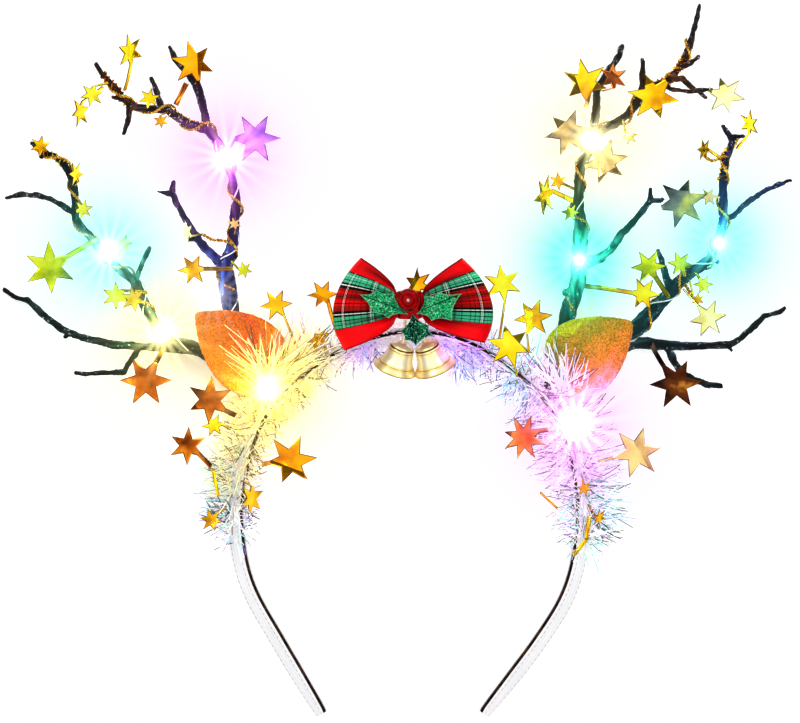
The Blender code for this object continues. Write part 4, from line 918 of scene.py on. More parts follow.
def wire_mesh(places: Sequence[Vector], radius: float, rounding: int = 1) -> Mesh:
    """A round wire along a line.

    Args:
        places: the line's places in millimetres.
        radius: the wire's radius in millimetres.
        rounding: the bevel resolution of its section.

    Returns:
        The wire's mesh.
    """
    curve = bpy.data.curves.new("wire", "CURVE")
    curve.dimensions = "3D"
    curve.bevel_depth = radius * MM
    curve.bevel_resolution = rounding
    curve.use_fill_caps = True
    spline = curve.splines.new("POLY")
    spline.points.add(len(places) - 1)
    for point, place in zip(spline.points, places):
        point.co = (*(place * MM), 1.0)
    return mesh_from(merged(evaluated(placed("wire", curve))))


def joined(meshes: Sequence[Mesh]) -> Mesh:
    """Several meshes as one.

    Args:
        meshes: the meshes.

    Returns:
        One mesh that holds them all.
    """
    builder = bmesh.new()
    for mesh in meshes:
        builder.from_mesh(mesh)
    return mesh_from(builder, outward=False)


def winding(
    rows: Sequence[Row], pitch: float, gap: float, phase: float = 0.0, per_span: int = 10
) -> list[Vector]:
    """A line that winds round a twig.

    Args:
        rows: the twig's places and radii.
        pitch: the length of one turn; a negative pitch winds the other way.
        gap: how far the line runs above the twig's surface.
        phase: the angle in degrees at which it starts, from the twig's front.
        per_span: the steps between each two rows.

    Returns:
        The line's places in millimetres.
    """
    fine = smooth_rows(rows, per_span)
    places = [vector(row) for row in fine]
    angle = radians(phase)
    line = []
    for index, here in enumerate(places):
        along = line_way(places, index)
        front = (UP - along * along.z).normalized()
        aside = along.cross(front)
        around = front * cos(angle) + aside * sin(angle)
        line.append(here + around * (fine[index][3] + gap))
        ahead = places[min(index + 1, len(places) - 1)]
        angle += tau * (ahead - here).length / pitch
    return line


def light_at(
    places: np.ndarray, sources: Sequence[tuple[Row, Colour, float, float]]
) -> tuple[np.ndarray, np.ndarray]:
    """The colour that lights lend to film at some places, and how strongly.

    Args:
        places: one place in millimetres per row.
        sources: each light's place, colour, reach and strength.

    Returns:
        A colour and a strength for each place.
    """
    total = np.zeros((len(places), 3))
    weight = np.zeros(len(places))
    for place, colour, reach, strength in sources:
        away = np.linalg.norm(places - np.array(place), axis=1)
        share = np.exp(-(away / reach)**2) * strength
        total += share[:, None] * np.array(colour)
        weight += share
    return total / np.maximum(weight, 1e-6)[:, None], np.minimum(weight, 1.0)


@dataclass
class Hoop:
    """The springy hoop: a brass strip between a white ribbon and a white lining."""

    strip_width: float = 8.4
    strip_thick: float = 1.0
    ribbon_width: float = 9.0
    ribbon_thick: float = 0.8
    lining_width: float = 8.8
    lining_thick: float = 0.5
    gap: float = 0.3
    tip_taper: float = 22.0
    tip_share: float = 0.55
    edge_round: float = 0.16
    steps: int = 12
    columns: int = 6

    def layer(self, width: float, offset: float) -> Mesh:
        """One layer's middle sheet, with its own length and width kept on it.

        Args:
            width: the layer's width in millimetres.
            offset: how far it lies outside the hoop's line.

        Returns:
            The sheet.
        """
        rows = smooth_rows(HOOP_ROUTE, self.steps)
        places = [Vector((x, y, HOOP_Z)) for x, y, tilt in rows]
        lengths = np.concatenate([[0.0], np.cumsum([(b - a).length for a, b in zip(places, places[1:])])])
        builder = bmesh.new()
        run = builder.verts.layers.float_vector.new("run_mm")
        line = [builder.verts.new((0.0, 0.0, 0.0)) for place in places]
        edges = [builder.edges.new(pair) for pair in zip(line, line[1:])]
        columns = [line]
        for column in range(self.columns):
            line, edges = next_row(builder, edges)
            columns.append(line)
        for column, line in enumerate(columns):
            across = width * (column / self.columns - 0.5)
            for index, vert in enumerate(line):
                along = line_way(places, index)
                outward = Vector((-along.y, along.x, 0.0))
                lean = radians(rows[index][2])
                from_tip = min(lengths[index], lengths[-1] - lengths[index]) / self.tip_taper
                narrow = self.tip_share + (1 - self.tip_share) * sqrt(min(1.0, from_tip))
                rise = UP * cos(lean) - outward * sin(lean)
                normal = outward * cos(lean) + UP * sin(lean)
                vert.co = (places[index] + normal * offset + rise * across * narrow) * MM
                vert[run] = Vector((lengths[index], across, 0.0))
        return mesh_from(builder)

    def build(self) -> None:
        """Makes the three layers."""
        ribbon_offset = self.strip_thick / 2 + self.gap + self.ribbon_thick / 2
        lining_offset = -(self.strip_thick / 2 + self.gap + self.lining_thick / 2)
        layers = (
            ("band_ribbon", self.ribbon_width, self.ribbon_thick, ribbon_offset, RIBBON, "hoop_ribbon"),
            ("band_lining", self.lining_width, self.lining_thick, lining_offset, RIBBON, "hoop_lining"),
            ("band_strip", self.strip_width, self.strip_thick, 0.0, STRIP, "hoop_strip"),
        )
        for name, width, thick, offset, finish, node in layers:
            mesh = with_modifiers(self.layer(width, offset), [
                ("SOLIDIFY", {"thickness": thick * MM, "offset": 0.0, "use_even_offset": True}),
                ("BEVEL", {"width": self.edge_round * MM, "segments": 2, "limit_method": "ANGLE"}),
            ])
            add_piece(name, mesh, finish, [node], sharp_above=40.0)


def mesh_numbers(
    items: bpy.types.bpy_prop_collection, name: str, width: int, kind: type = np.float32
) -> np.ndarray:
    """The numbers that a mesh's vertices or edges hold.

    Args:
        items: the vertices or the edges.
        name: the numbers' name.
        width: how many each item has.
        kind: their type.

    Returns:
        A row for each item.
    """
    numbers = np.empty(len(items) * width, dtype=kind)
    items.foreach_get(name, numbers)
    return numbers.reshape(-1, width)


@dataclass
class Antlers:
    """The six plastic twigs, from their CAD forms, with swollen trunks and ridged bark."""

    frame: dict
    voxel: float = 0.40
    smoothing: int = 3
    knot_size: float = 4.2
    knot_depth: float = 0.7
    growth: float = 0.22
    ridge_depth: float = 0.17
    ridge_turns: int = 26
    axis_turns: int = 22
    # Where a trunk is thicker: x, y, how far round there, and by how much
    swells: tuple[Row, ...] = (
        (-65.0, 26.0, 15.0, 0.75), (69.5, 34.0, 15.0, 0.90), (64.5, 17.0, 13.0, 0.80),
        (94.0, 16.0, 17.0, 0.55), (108.0, 30.0, 12.0, 0.45), (70.0, 52.0, 12.0, 0.5),
        (-66.0, 42.0, 10.0, 0.35),
    )
    # The colour that the lights throw along the twigs: place, colour and reach
    spills: tuple[tuple[Row, Colour, float], ...] = (
        ((-64.0, 76.0, 19.0), (0.34, 0.02, 0.60), 20.0), ((-66.0, 38.0, 14.0), (0.015, 0.03, 0.34), 17.0),
        ((-110.0, 40.0, 19.0), (0.0, 0.24, 0.16), 22.0), ((-96.0, 8.0, 15.0), (0.02, 0.07, 0.03), 18.0),
        ((70.0, 30.0, 15.0), (0.0, 0.26, 0.19), 26.0), ((88.0, 48.0, 19.0), (0.0, 0.15, 0.11), 14.0),
        ((126.0, 58.0, 23.0), (0.015, 0.05, 0.36), 22.0), ((102.0, 24.0, 16.0), (0.0, 0.06, 0.12), 18.0),
        ((-104.0, 104.0, 26.0), (0.14, 0.05, 0.01), 12.0), ((106.0, 112.0, 24.0), (0.16, 0.04, 0.01), 13.0),
        ((70.0, 66.0, 18.0), (0.02, 0.13, 0.03), 12.0), ((150.0, 64.0, 19.0), (0.0, 0.03, 0.20), 16.0),
    )

    @staticmethod
    def along_edges(edges: np.ndarray, weights: np.ndarray, values: np.ndarray) -> np.ndarray:
        """One step of averaging values over a mesh's edges.

        Args:
            edges: the two vertices of each edge.
            weights: each edge's weight.
            values: a number or a row of numbers for each vertex.

        Returns:
            The averaged values.
        """
        rows = values.reshape(len(values), -1)
        total = rows.copy()
        for near, far in ((0, 1), (1, 0)):
            for column in range(rows.shape[1]):
                total[:, column] += np.bincount(edges[:, near], weights * rows[edges[:, far], column],
                                                minlength=len(rows))
        weight = 1.0 + np.bincount(edges.ravel(), np.repeat(weights, 2), minlength=len(rows))
        return (total / weight[:, None]).reshape(values.shape)

    def bark(self, mesh: Mesh, seed: int) -> None:
        """Raises ridges that run along a twig, and keeps their height as an attribute.

        Args:
            mesh: the twig's fine mesh.
            seed: the seed of its random heights.
        """
        count = len(mesh.vertices)
        places = mesh_numbers(mesh.vertices, "co", 3).astype(float) * PER_MM
        normals = mesh_numbers(mesh.vertices, "normal", 3).astype(float)
        edges = mesh_numbers(mesh.edges, "vertices", 2, np.int32)
        spread = normals[:, :, None] * normals[:, None, :]
        for _ in range(self.axis_turns):
            spread = self.along_edges(edges, np.full(len(edges), 1.0), spread)
        axis = np.linalg.eigh(spread)[1][:, :, 0]
        way = places[edges[:, 1]] - places[edges[:, 0]]
        way /= np.maximum(np.linalg.norm(way, axis=1), 1e-9)[:, None]
        weights = np.abs(np.einsum("ij,ij->i", way, axis[edges[:, 0]]))**5 * 3.0
        height = np.random.default_rng(seed).normal(0.0, 1.0, count)
        for _ in range(self.ridge_turns):
            height = self.along_edges(edges, weights, height)
        height = self.along_edges(edges, np.full(len(edges), 0.5), height)
        height = np.clip(height / height.std(), -2.0, 2.0)
        lift = self.growth + self.ridge_depth * height
        for x, y, reach, extra in self.swells:
            away = np.hypot(places[:, 0] - x, places[:, 1] - y)
            lift += extra * np.exp(-(away / reach)**2 * 2.0)
        places += normals * lift[:, None]
        mesh.vertices.foreach_set("co", (places * MM).astype(np.float32).ravel())
        layer = mesh.attributes.new("bark", "FLOAT", "POINT")
        layer.data.foreach_set("value", (height * 0.25 + 0.5).astype(np.float32))
        # Painted light: the nearby bulbs' colour is stored on each vertex for the twig's material
        glow, strength = light_at(places, [(*painted_light_spill, 1.0) for painted_light_spill in self.spills])
        layer = mesh.color_attributes.new("painted_light_spill", "FLOAT_COLOR", "POINT")
        layer.data.foreach_set("color", np.column_stack([glow * strength[:, None], np.ones(count)]).ravel())

    def build(self) -> None:
        """Makes the twigs."""
        knots = bpy.data.textures.new("knots", "CLOUDS")
        knots.noise_scale = self.knot_size * MM
        for side in ("left", "right"):
            for seed, twig in enumerate(("upright", "high", "low")):
                node = f"antler_{side}_{twig}"
                mesh = with_modifiers(mesh_from(merged(self.frame["nodes"][node].data), outward=False), [
                    ("REMESH", {"mode": "VOXEL", "voxel_size": self.voxel * MM}),
                    ("SMOOTH", {"factor": 0.5, "iterations": self.smoothing}),
                    ("DISPLACE", {"texture": knots, "strength": self.knot_depth * MM, "mid_level": 0.5}),
                ])
                self.bark(mesh, seed)
                add_piece(f"twig_{side}_{twig}", mesh, TWIG, [node])


@dataclass
class Ears:
    """The two felt ears, with a matted nap along their edges."""

    frame: dict
    length: float = 37.5
    width: float = 31.0
    nap_depth: float = 0.5
    nap_size: float = 1.1
    left_felt: Felt = Felt(
        "felt_left", "ear_felt", 0.9, 0.0, (-74.0, 0.0, 20.0), (-46.0, 10.0, 20.0),
        ((0.0, (1.0, 0.34, 0.020)), (0.40, (1.0, 0.28, 0.012)), (0.75, (0.90, 0.15, 0.010)),
         (1.0, (1.0, 0.32, 0.02))),
    )
    right_felt: Felt = Felt(
        "felt_right", "ear_felt", 0.9, 0.0, (70.0, 15.0, 30.0), (84.0, -8.0, 30.0),
        ((0.0, (0.72, 0.86, 0.04)), (0.14, (0.52, 0.44, 0.03)), (0.40, (0.78, 0.40, 0.03)),
         (0.68, (1.0, 0.34, 0.05)), (0.88, (1.0, 0.40, 0.36)), (1.0, (1.0, 0.46, 0.62))),
    )

    def build(self) -> None:
        """Makes the ears."""
        matted = bpy.data.textures.new("matted", "CLOUDS")
        matted.noise_scale = self.nap_size * MM
        for side, felt in (("left", self.left_felt), ("right", self.right_felt)):
            node = f"ear_{side}"
            mesh = with_modifiers(mesh_from(merged(self.frame["nodes"][node].data), outward=False), [
                ("SUBSURF", {"levels": 4, "render_levels": 4}),
                ("DISPLACE", {"texture": matted, "strength": self.nap_depth * MM, "mid_level": 0.5}),
            ])
            ear = add_piece(f"felt_ear_{side}", mesh, felt, [node])


@dataclass
class Tinsel:
    """The tinsel garland, strand by strand, round the hoop."""

    core_low: float = 1.2
    core_high: float = 4.6
    strand_width: float = 0.62
    strand_thick: float = 0.11
    strand_steps: int = 4
    floor_gap: float = 0.25
    route_steps: int = 16
    grid_steps: int = 200
    look_ahead: float = 0.004
    waver: float = 0.7
    tuft_waver: float = 0.6
    arch: float = 0.6
    slant: float = 3.8
    tuft_spread: float = 2.2
    tip_taper: float = 0.35
    lit_share: float = 0.9
    # Sections: share of the hoop's length, half width across, half height, and shift outward
    left: tuple[Row, ...] = (
        (0.190, 7.5, 9.0, 1.5), (0.215, 11.0, 12.3, 3.0), (0.255, 12.0, 12.3, 3.5),
        (0.300, 12.0, 12.3, 3.5), (0.345, 12.0, 12.3, 3.0), (0.385, 11.0, 12.3, 2.0),
        (0.415, 9.0, 10.0, 1.0),
    )
    centre: tuple[Row, ...] = (
        (0.417, 9.0, 10.0, 1.0), (0.450, 7.0, 6.8, 0.5), (0.480, 6.6, 6.7, 0.3),
        (0.520, 6.6, 6.7, 0.3), (0.550, 7.0, 6.8, 0.5), (0.583, 9.0, 10.0, 1.0),
    )
    right: tuple[Row, ...] = (
        (0.585, 9.0, 10.0, 1.0), (0.615, 13.0, 12.3, 1.0), (0.655, 16.0, 12.3, 1.5),
        (0.700, 17.5, 12.3, 2.0), (0.745, 16.0, 12.3, 2.5), (0.785, 13.0, 12.3, 3.0),
        (0.815, 8.0, 9.0, 2.0),
    )
    # The strands' tints and how often each comes; the three darkest are painted shade, dark strands that
    # stand for the dark lines between the pale ones
    tints: tuple[tuple[Colour, float], ...] = (
        ((1.0, 1.0, 1.0), 0.52), ((0.80, 0.82, 0.88), 0.06), ((0.30, 0.84, 0.94), 0.05),
        ((0.96, 0.62, 0.94), 0.06), ((0.50, 0.52, 0.96), 0.03), ((0.40, 0.92, 0.76), 0.04),
        ((0.44, 0.18, 0.80), 0.03), ((0.16, 0.09, 0.26), 0.06), ((0.03, 0.03, 0.05), 0.05),
        ((0.20, 0.13, 0.04), 0.06),
    )
    # Light that the film throws about by itself: place, colour and reach
    gleams: tuple[tuple[Row, Colour, float], ...] = (
        ((23.0, -5.0, 14.0), (0.10, 0.76, 1.0), 8.0), ((-14.0, 4.0, 16.0), (0.52, 0.14, 0.96), 8.0),
        ((28.0, 4.0, 18.0), (0.74, 0.30, 1.0), 9.0), ((-80.0, -53.0, 10.0), (0.28, 0.86, 0.92), 11.0),
        ((88.0, -56.0, 12.0), (0.26, 0.92, 0.86), 9.0), ((46.0, -14.0, 14.0), (0.40, 0.90, 1.0), 8.0),
        ((58.0, -76.0, 14.0), (0.40, 0.90, 0.86), 8.0), ((76.0, -42.0, 16.0), (0.82, 0.34, 1.0), 7.0),
        ((60.0, -44.0, 20.0), (0.94, 0.74, 1.0), 12.0), ((-58.0, -26.0, 20.0), (1.0, 0.78, 0.10), 14.0),
        ((-48.0, -8.0, 24.0), (1.0, 0.74, 0.03), 19.0), ((68.0, -22.0, 22.0), (1.0, 0.76, 0.96), 17.0),
        ((-66.0, -44.0, 20.0), (1.0, 0.84, 0.30), 12.0), ((-32.0, 2.0, 18.0), (1.0, 0.88, 0.30), 9.0),
    )
    # Long strands over the ears: root, lowest and highest heading in degrees, heights, lengths, count
    tufts: dict[str, tuple[tuple[Row, Row, Row, Row, int], ...]] = field(default_factory=lambda: {
        "left": (((-50.0, -8.0, 22.0), (20.0, 150.0), (25.6, 28.5), (12.0, 24.0), 85),
                 ((-42.0, -2.0, 20.0), (10.0, 90.0), (20.0, 27.0), (10.0, 20.0), 80),
                 ((-34.0, 1.0, 18.0), (40.0, 130.0), (17.0, 25.0), (7.0, 15.0), 60)),
        "centre": (((-14.0, 5.0, 18.0), (200.0, 330.0), (10.0, 20.0), (5.0, 9.0), 60),
                   ((24.0, 2.0, 18.0), (230.0, 330.0), (10.0, 20.0), (7.0, 13.0), 70)),
        "right": (((62.0, -8.0, 22.0), (60.0, 150.0), (26.5, 29.5), (8.0, 17.0), 60),
                  ((66.0, -12.0, 22.0), (20.0, 110.0), (27.5, 30.0), (6.0, 14.0), 40)),
    })

    def template(self) -> tuple[np.ndarray, list[list[int]]]:
        """One straight strand of unit length, three-sided and closed.

        Returns:
            Its vertices, with Z from 0 to 1 along it, and its faces.
        """
        builder = bmesh.new()
        bmesh.ops.create_circle(builder, segments=3, radius=1.0, cap_ends=True)
        face = builder.faces[:]
        for step in range(self.strand_steps - 1):
            made = bmesh.ops.extrude_face_region(builder, geom=face)["geom"]
            bmesh.ops.delete(builder, geom=face if step else [], context="FACES_ONLY")
            verts = [item for item in made if isinstance(item, bmesh.types.BMVert)]
            face = [item for item in made if isinstance(item, bmesh.types.BMFace)]
            bmesh.ops.translate(builder, verts=verts, vec=(0.0, 0.0, 1.0 / (self.strand_steps - 1)))
        bmesh.ops.recalc_face_normals(builder, faces=builder.faces)
        builder.verts.index_update()
        verts = np.array([vert.co[:] for vert in builder.verts])
        faces = [[vert.index for vert in item.verts] for item in builder.faces]
        builder.free()
        return verts, faces

    def hoop_places(self, share: np.ndarray) -> np.ndarray:
        """Places on the hoop's line.

        Args:
            share: the shares of the line's length at which they lie.

        Returns:
            One place in millimetres per row.
        """
        route = smooth_rows(HOOP_ROUTE, self.route_steps)
        steps = np.linalg.norm(np.diff(route[:, :2], axis=0), axis=1)
        shares = np.concatenate([[0.0], np.cumsum(steps)]) / steps.sum()
        x, y = (np.interp(share, shares, route[:, column]) for column in (0, 1))
        return np.column_stack([x, y, np.full(len(share), HOOP_Z)])

    def around(self, stations: Sequence[Row], count: int, rng: np.random.Generator) -> np.ndarray:
        """Strands that stand out all round the hoop.

        Args:
            stations: the garland's section at shares of the hoop's length.
            count: how many strands there are.
            rng: draws their random shapes.

        Returns:
            Their roots, their middles and their tips.
        """
        table = np.array(stations)
        grid = np.linspace(table[0, 0], table[-1, 0], self.grid_steps)
        density = np.interp(grid, table[:, 0], table[:, 1] * table[:, 2])
        chance = np.concatenate([[0.0], np.cumsum(density[1:] + density[:-1])])
        share = np.interp(rng.random(count), chance / chance[-1], grid)
        across, high, shift = (np.interp(share, table[:, 0], table[:, column]) for column in (1, 2, 3))
        place = self.hoop_places(share)
        along = self.hoop_places(share + self.look_ahead) - place
        along /= np.linalg.norm(along, axis=1)[:, None]
        outward = np.column_stack([-along[:, 1], along[:, 0], np.zeros(count)])
        angle = rng.uniform(0.0, tau, count)
        reach = rng.uniform(0.70, 1.14, count) + 0.20 * (rng.random(count) > 0.88)
        radial = outward * np.cos(angle)[:, None] + np.array([[0.0, 0.0, 1.0]]) * np.sin(angle)[:, None]
        root = place + radial * rng.uniform(self.core_low, self.core_high, count)[:, None]
        root += outward * (shift * 0.6)[:, None]
        tip = place + outward * (shift + np.cos(angle) * across * reach)[:, None]
        tip[:, 2] += np.sin(angle) * high * np.minimum(reach, 1.08)
        tip += along * rng.normal(0.0, self.slant, count)[:, None]
        middle = (root + tip) / 2 + rng.normal(0.0, self.waver, (count, 3))
        middle[:, 2] += self.arch
        return np.stack([root, middle, tip])

    def tuft(
        self, base: Row, headings: Row, heights: Row, lengths: Row, count: int, rng: np.random.Generator
    ) -> np.ndarray:
        """A bunch of long strands.

        Args:
            base: the place of its roots.
            headings: the lowest and highest heading in degrees.
            heights: the lowest and highest tip.
            lengths: the least and greatest length.
            count: how many strands there are.
            rng: draws their random shapes.

        Returns:
            Their roots, their middles and their tips.
        """
        heading = np.radians(rng.uniform(*headings, count))
        length = rng.uniform(*lengths, count)
        root = np.array(base) + rng.normal(0.0, self.tuft_spread, (count, 3))
        away = np.column_stack([np.cos(heading), np.sin(heading), np.zeros(count)])
        tip = root + away * length[:, None]
        tip[:, 2] = rng.uniform(*heights, count)
        middle = (root + tip) / 2 + rng.normal(0.0, self.tuft_waver, (count, 3))
        middle[:, 2] = np.maximum(middle[:, 2], tip[:, 2])
        return np.stack([root, middle, tip])

    def strand_mesh(self, strands: np.ndarray, rng: np.random.Generator) -> Mesh:
        """Flat strands, each bent from its root over its middle to its tip.

        Args:
            strands: the roots, the middles and the tips.
            rng: draws the way that each strand is turned.

        Returns:
            One mesh of them all.
        """
        root, middle, tip = strands
        verts, faces = self.template()
        t = verts[:, 2][None, :, None]
        centre = (1 - t)**2 * root[:, None] + 2 * t * (1 - t) * middle[:, None] + t**2 * tip[:, None]
        heading = tip - root
        heading /= np.maximum(np.linalg.norm(heading, axis=1), 1e-6)[:, None]
        flat = np.cross(heading, rng.normal(0.0, 1.0, root.shape))
        flat /= np.linalg.norm(flat, axis=1)[:, None]
        thick = np.cross(heading, flat)
        taper = 1.0 - self.tip_taper * t
        cloud = (centre + flat[:, None] * verts[None, :, :1] * self.strand_width / 2 * taper
                 + thick[:, None] * verts[None, :, 1:2] * self.strand_thick)
        cloud[:, :, 2] = np.maximum(cloud[:, :, 2], self.floor_gap)
        mesh = bpy.data.meshes.new("strands")
        shifts = np.arange(len(root))[:, None] * len(verts)
        all_faces = [row for face in faces for row in (np.array(face)[None, :] + shifts).tolist()]
        mesh.from_pydata((cloud.reshape(-1, 3) * MM).tolist(), [], all_faces)
        return mesh

    def dye_and_painted_light(self, mesh: Mesh, strands: np.ndarray, rng: np.random.Generator) -> None:
        """Gives each strand its own tint, and the colour of the light near it.

        Args:
            mesh: the strands' mesh.
            strands: the roots, the middles and the tips.
            rng: draws the tints.
        """
        root, middle, tip = strands
        count = len(root)
        odds = np.array([share for colour, share in self.tints])
        own = np.array([colour for colour, share in self.tints])
        own = own[rng.choice(len(odds), count, p=odds / odds.sum())]
        sources = [(led.place, led.colour, led.reach, 1.0) for led in LEDS]
        sources += [(*gleam, 1.0) for gleam in self.gleams]
        glow, strength = light_at(tip * 0.5 + middle * 0.5, sources)
        strength = (strength * rng.uniform(0.35, 1.0, count))[:, None] * self.lit_share
        bright = own.mean(axis=1)[:, None]**0.7
        lit = own * (1 - strength) + glow * bright * strength
        tint = mesh.color_attributes.new("film_tint_and_painted_light", "FLOAT_COLOR", "POINT")
        total = len(mesh.vertices)
        colours = np.column_stack([np.repeat(lit, total // count, axis=0), np.ones(total)])
        tint.data.foreach_set("color", colours.ravel())

    def build(self) -> None:
        """Makes the three stretches."""
        stretches = (("left", self.left, 2100, 11), ("centre", self.centre, 800, 12),
                     ("right", self.right, 3000, 13))
        for name, stations, count, seed in stretches:
            rng = np.random.default_rng(seed)
            strands = self.around(stations, count, rng)
            for tuft in self.tufts[name]:
                strands = np.concatenate([strands, self.tuft(*tuft, rng)], axis=1)
            mesh = self.strand_mesh(strands, rng)
            self.dye_and_painted_light(mesh, strands, rng)
            add_piece(f"strands_{name}", mesh, FILM, [f"tinsel_{name}"])


@dataclass(frozen=True)
class Loop:
    """One loop of the bow: its fold's place, its lean, its width, its bulge, and its pleats' phase."""

    side: str
    fold_x: float
    fold_y: float
    lean: float
    width: float
    bulge: float
    phase: float


@dataclass
class Bow:
    """The tartan bow: two loops of one ribbon, gathered at a knot."""

    frame: dict
    lift: float = 17.6
    thick: float = 0.8
    cloth_thick: float = 0.5
    width: float = 35.0
    gather: float = 9.0
    puff: float = 14.0
    flare: float = 0.5
    swell: float = 0.85
    pinch: float = 1.5
    pinch_share: float = 0.35
    knot_x: float = 4.6
    knot_y: float = 21.5
    knot_width: float = 8.6
    knot_growth: float = 0.28
    knot_pleat: float = 0.35
    knot_pleats: float = 2.4
    knot_middle: float = 23.6
    gap: float = 0.3
    steps_along: int = 72
    steps_across: int = 48
    pleats: float = 3.0
    pleat_depth: float = 1.15
    ripple: float = 0.45
    loops: tuple[Loop, ...] = (
        Loop("left", -16.9, 21.8, 10.0, 36.0, 7.2, 0.35),
        Loop("right", 28.9, 23.2, -15.0, 33.6, 6.9, 0.85),
    )

    def loop_place(self, loop: Loop, t: float, v: float) -> Vector:
        """A place on a loop.

        Args:
            loop: the loop.
            t: how far along the ribbon, from the knot's back at 0 to its front at 1.
            v: how far across it, from -1 at its lower edge to 1.

        Returns:
            The place in millimetres.
        """
        side = copysign(1.0, loop.fold_x - self.knot_x)
        start_x = self.knot_x + side * (self.knot_width / 2 + self.gap + self.thick / 2)
        lean = radians(loop.lean)
        arch = max(0.0, sin(pi * t))
        eased = arch**self.swell
        depth = self.lift + self.thick + self.puff * (1 - cos(pi * t)) / 2
        pinch = self.pinch + self.pinch_share * self.puff * (1 - eased)
        depth += pinch * (1 - 2 * t) * (1 - eased)
        half = (self.gather + (loop.width - self.gather) * arch**self.flare) / 2
        bulge = loop.bulge * (1 - v * v) * eased
        x = start_x + (loop.fold_x - start_x) * eased + side * bulge
        y = self.knot_y + (loop.fold_y - self.knot_y) * eased
        x += half * v * sin(lean) * eased
        y += half * v * cos(lean)
        crease = cos(pi * (self.pleats * v + loop.phase)) * self.pleat_depth
        depth += crease * (1 - eased)**0.6 * (1 if t > 0.5 else -1)
        depth += self.ripple * cos(2.3 * pi * v + 4 * t) * eased
        return Vector((x, y, depth))

    def fold_shade(self, loop: Loop, t: float, v: float) -> float:
        """How dark a place on a loop is painted: painted shade in the valleys of its pleats near the knot
        and over its far fold, and a darker line along its rims.

        Args:
            loop: the loop.
            t: how far along the ribbon the place is.
            v: how far across it.

        Returns:
            The share of the painted fold shade's tone.
        """
        closed = 1.0 - max(0.0, sin(pi * t))
        valley = 0.5 - 0.5 * cos(pi * (self.pleats * v + loop.phase))
        deep = 0.85 * min(1.0, 1.7 * closed) * valley**8
        rim = max(0.0, (abs(v) - 0.96) / 0.04) * 0.9
        outer = max(0.0, 1.0 - closed - 0.985) / 0.015 * 0.55
        return max(deep, rim, outer)

    def build(self) -> None:
        """Makes the loops and the knot."""
        for loop in self.loops:
            builder = bmesh.new()
            builder.loops.layers.uv.new("ribbon")
            bmesh.ops.create_grid(builder, x_segments=self.steps_along, y_segments=self.steps_across,
                                  size=0.5, calc_uvs=True)
            shade = builder.verts.layers.float.new("shade")
            for vert in builder.verts:
                t, v = vert.co.x + 0.5, vert.co.y * 2
                vert[shade] = self.fold_shade(loop, t, v)
                vert.co = self.loop_place(loop, t, v) * MM
            mesh = walled(mesh_from(builder), self.cloth_thick)
            piece = add_piece(f"ribbon_loop_{loop.side}", mesh, TARTAN, [f"bow_loop_{loop.side}"],
                              sharp_above=60.0)
        knot = merged(self.frame["nodes"]["bow_knot"].data)
        centre = Vector((self.knot_x, self.knot_y, 0.0)) * MM
        bmesh.ops.subdivide_edges(knot, edges=knot.edges[:], cuts=4, use_grid_fill=True)
        bmesh.ops.smooth_vert(knot, verts=knot.verts, factor=0.5, use_axis_x=True, use_axis_y=True,
                              use_axis_z=True)
        shade = knot.verts.layers.float.new("shade")
        layer = knot.loops.layers.uv.new("ribbon")
        for face in knot.faces:
            for corner in face.loops:
                away = (corner.vert.co - centre) / MM
                corner[layer].uv = (away.x / self.width + 0.1, 0.11 + 0.09 * sin(away.x))
        for vert in knot.verts:
            vert.co.x += (vert.co.x - centre.x) * self.knot_growth
            pleat = cos((vert.co.x / MM - self.knot_x) * self.knot_pleats)
            # Painted shade on the knot: darker all over, and most in its pleats' valleys
            vert[shade] = 0.25 + 0.7 * (0.5 - 0.5 * pleat)**2
            vert.co.z += self.knot_pleat * MM * pleat * (1 if vert.co.z > self.knot_middle * MM else -1)
        add_piece("ribbon_knot", mesh_from(knot), TARTAN, ["bow_knot"], sharp_above=70.0)


@dataclass(frozen=True)
class HollyLeaf:
    """A holly leaf: its spines in order, its midrib's ends, and their heights."""

    side: str
    spines: tuple[tuple[float, float], ...]
    root: tuple[float, float]
    tip: tuple[float, float]
    lift_root: float
    lift_tip: float


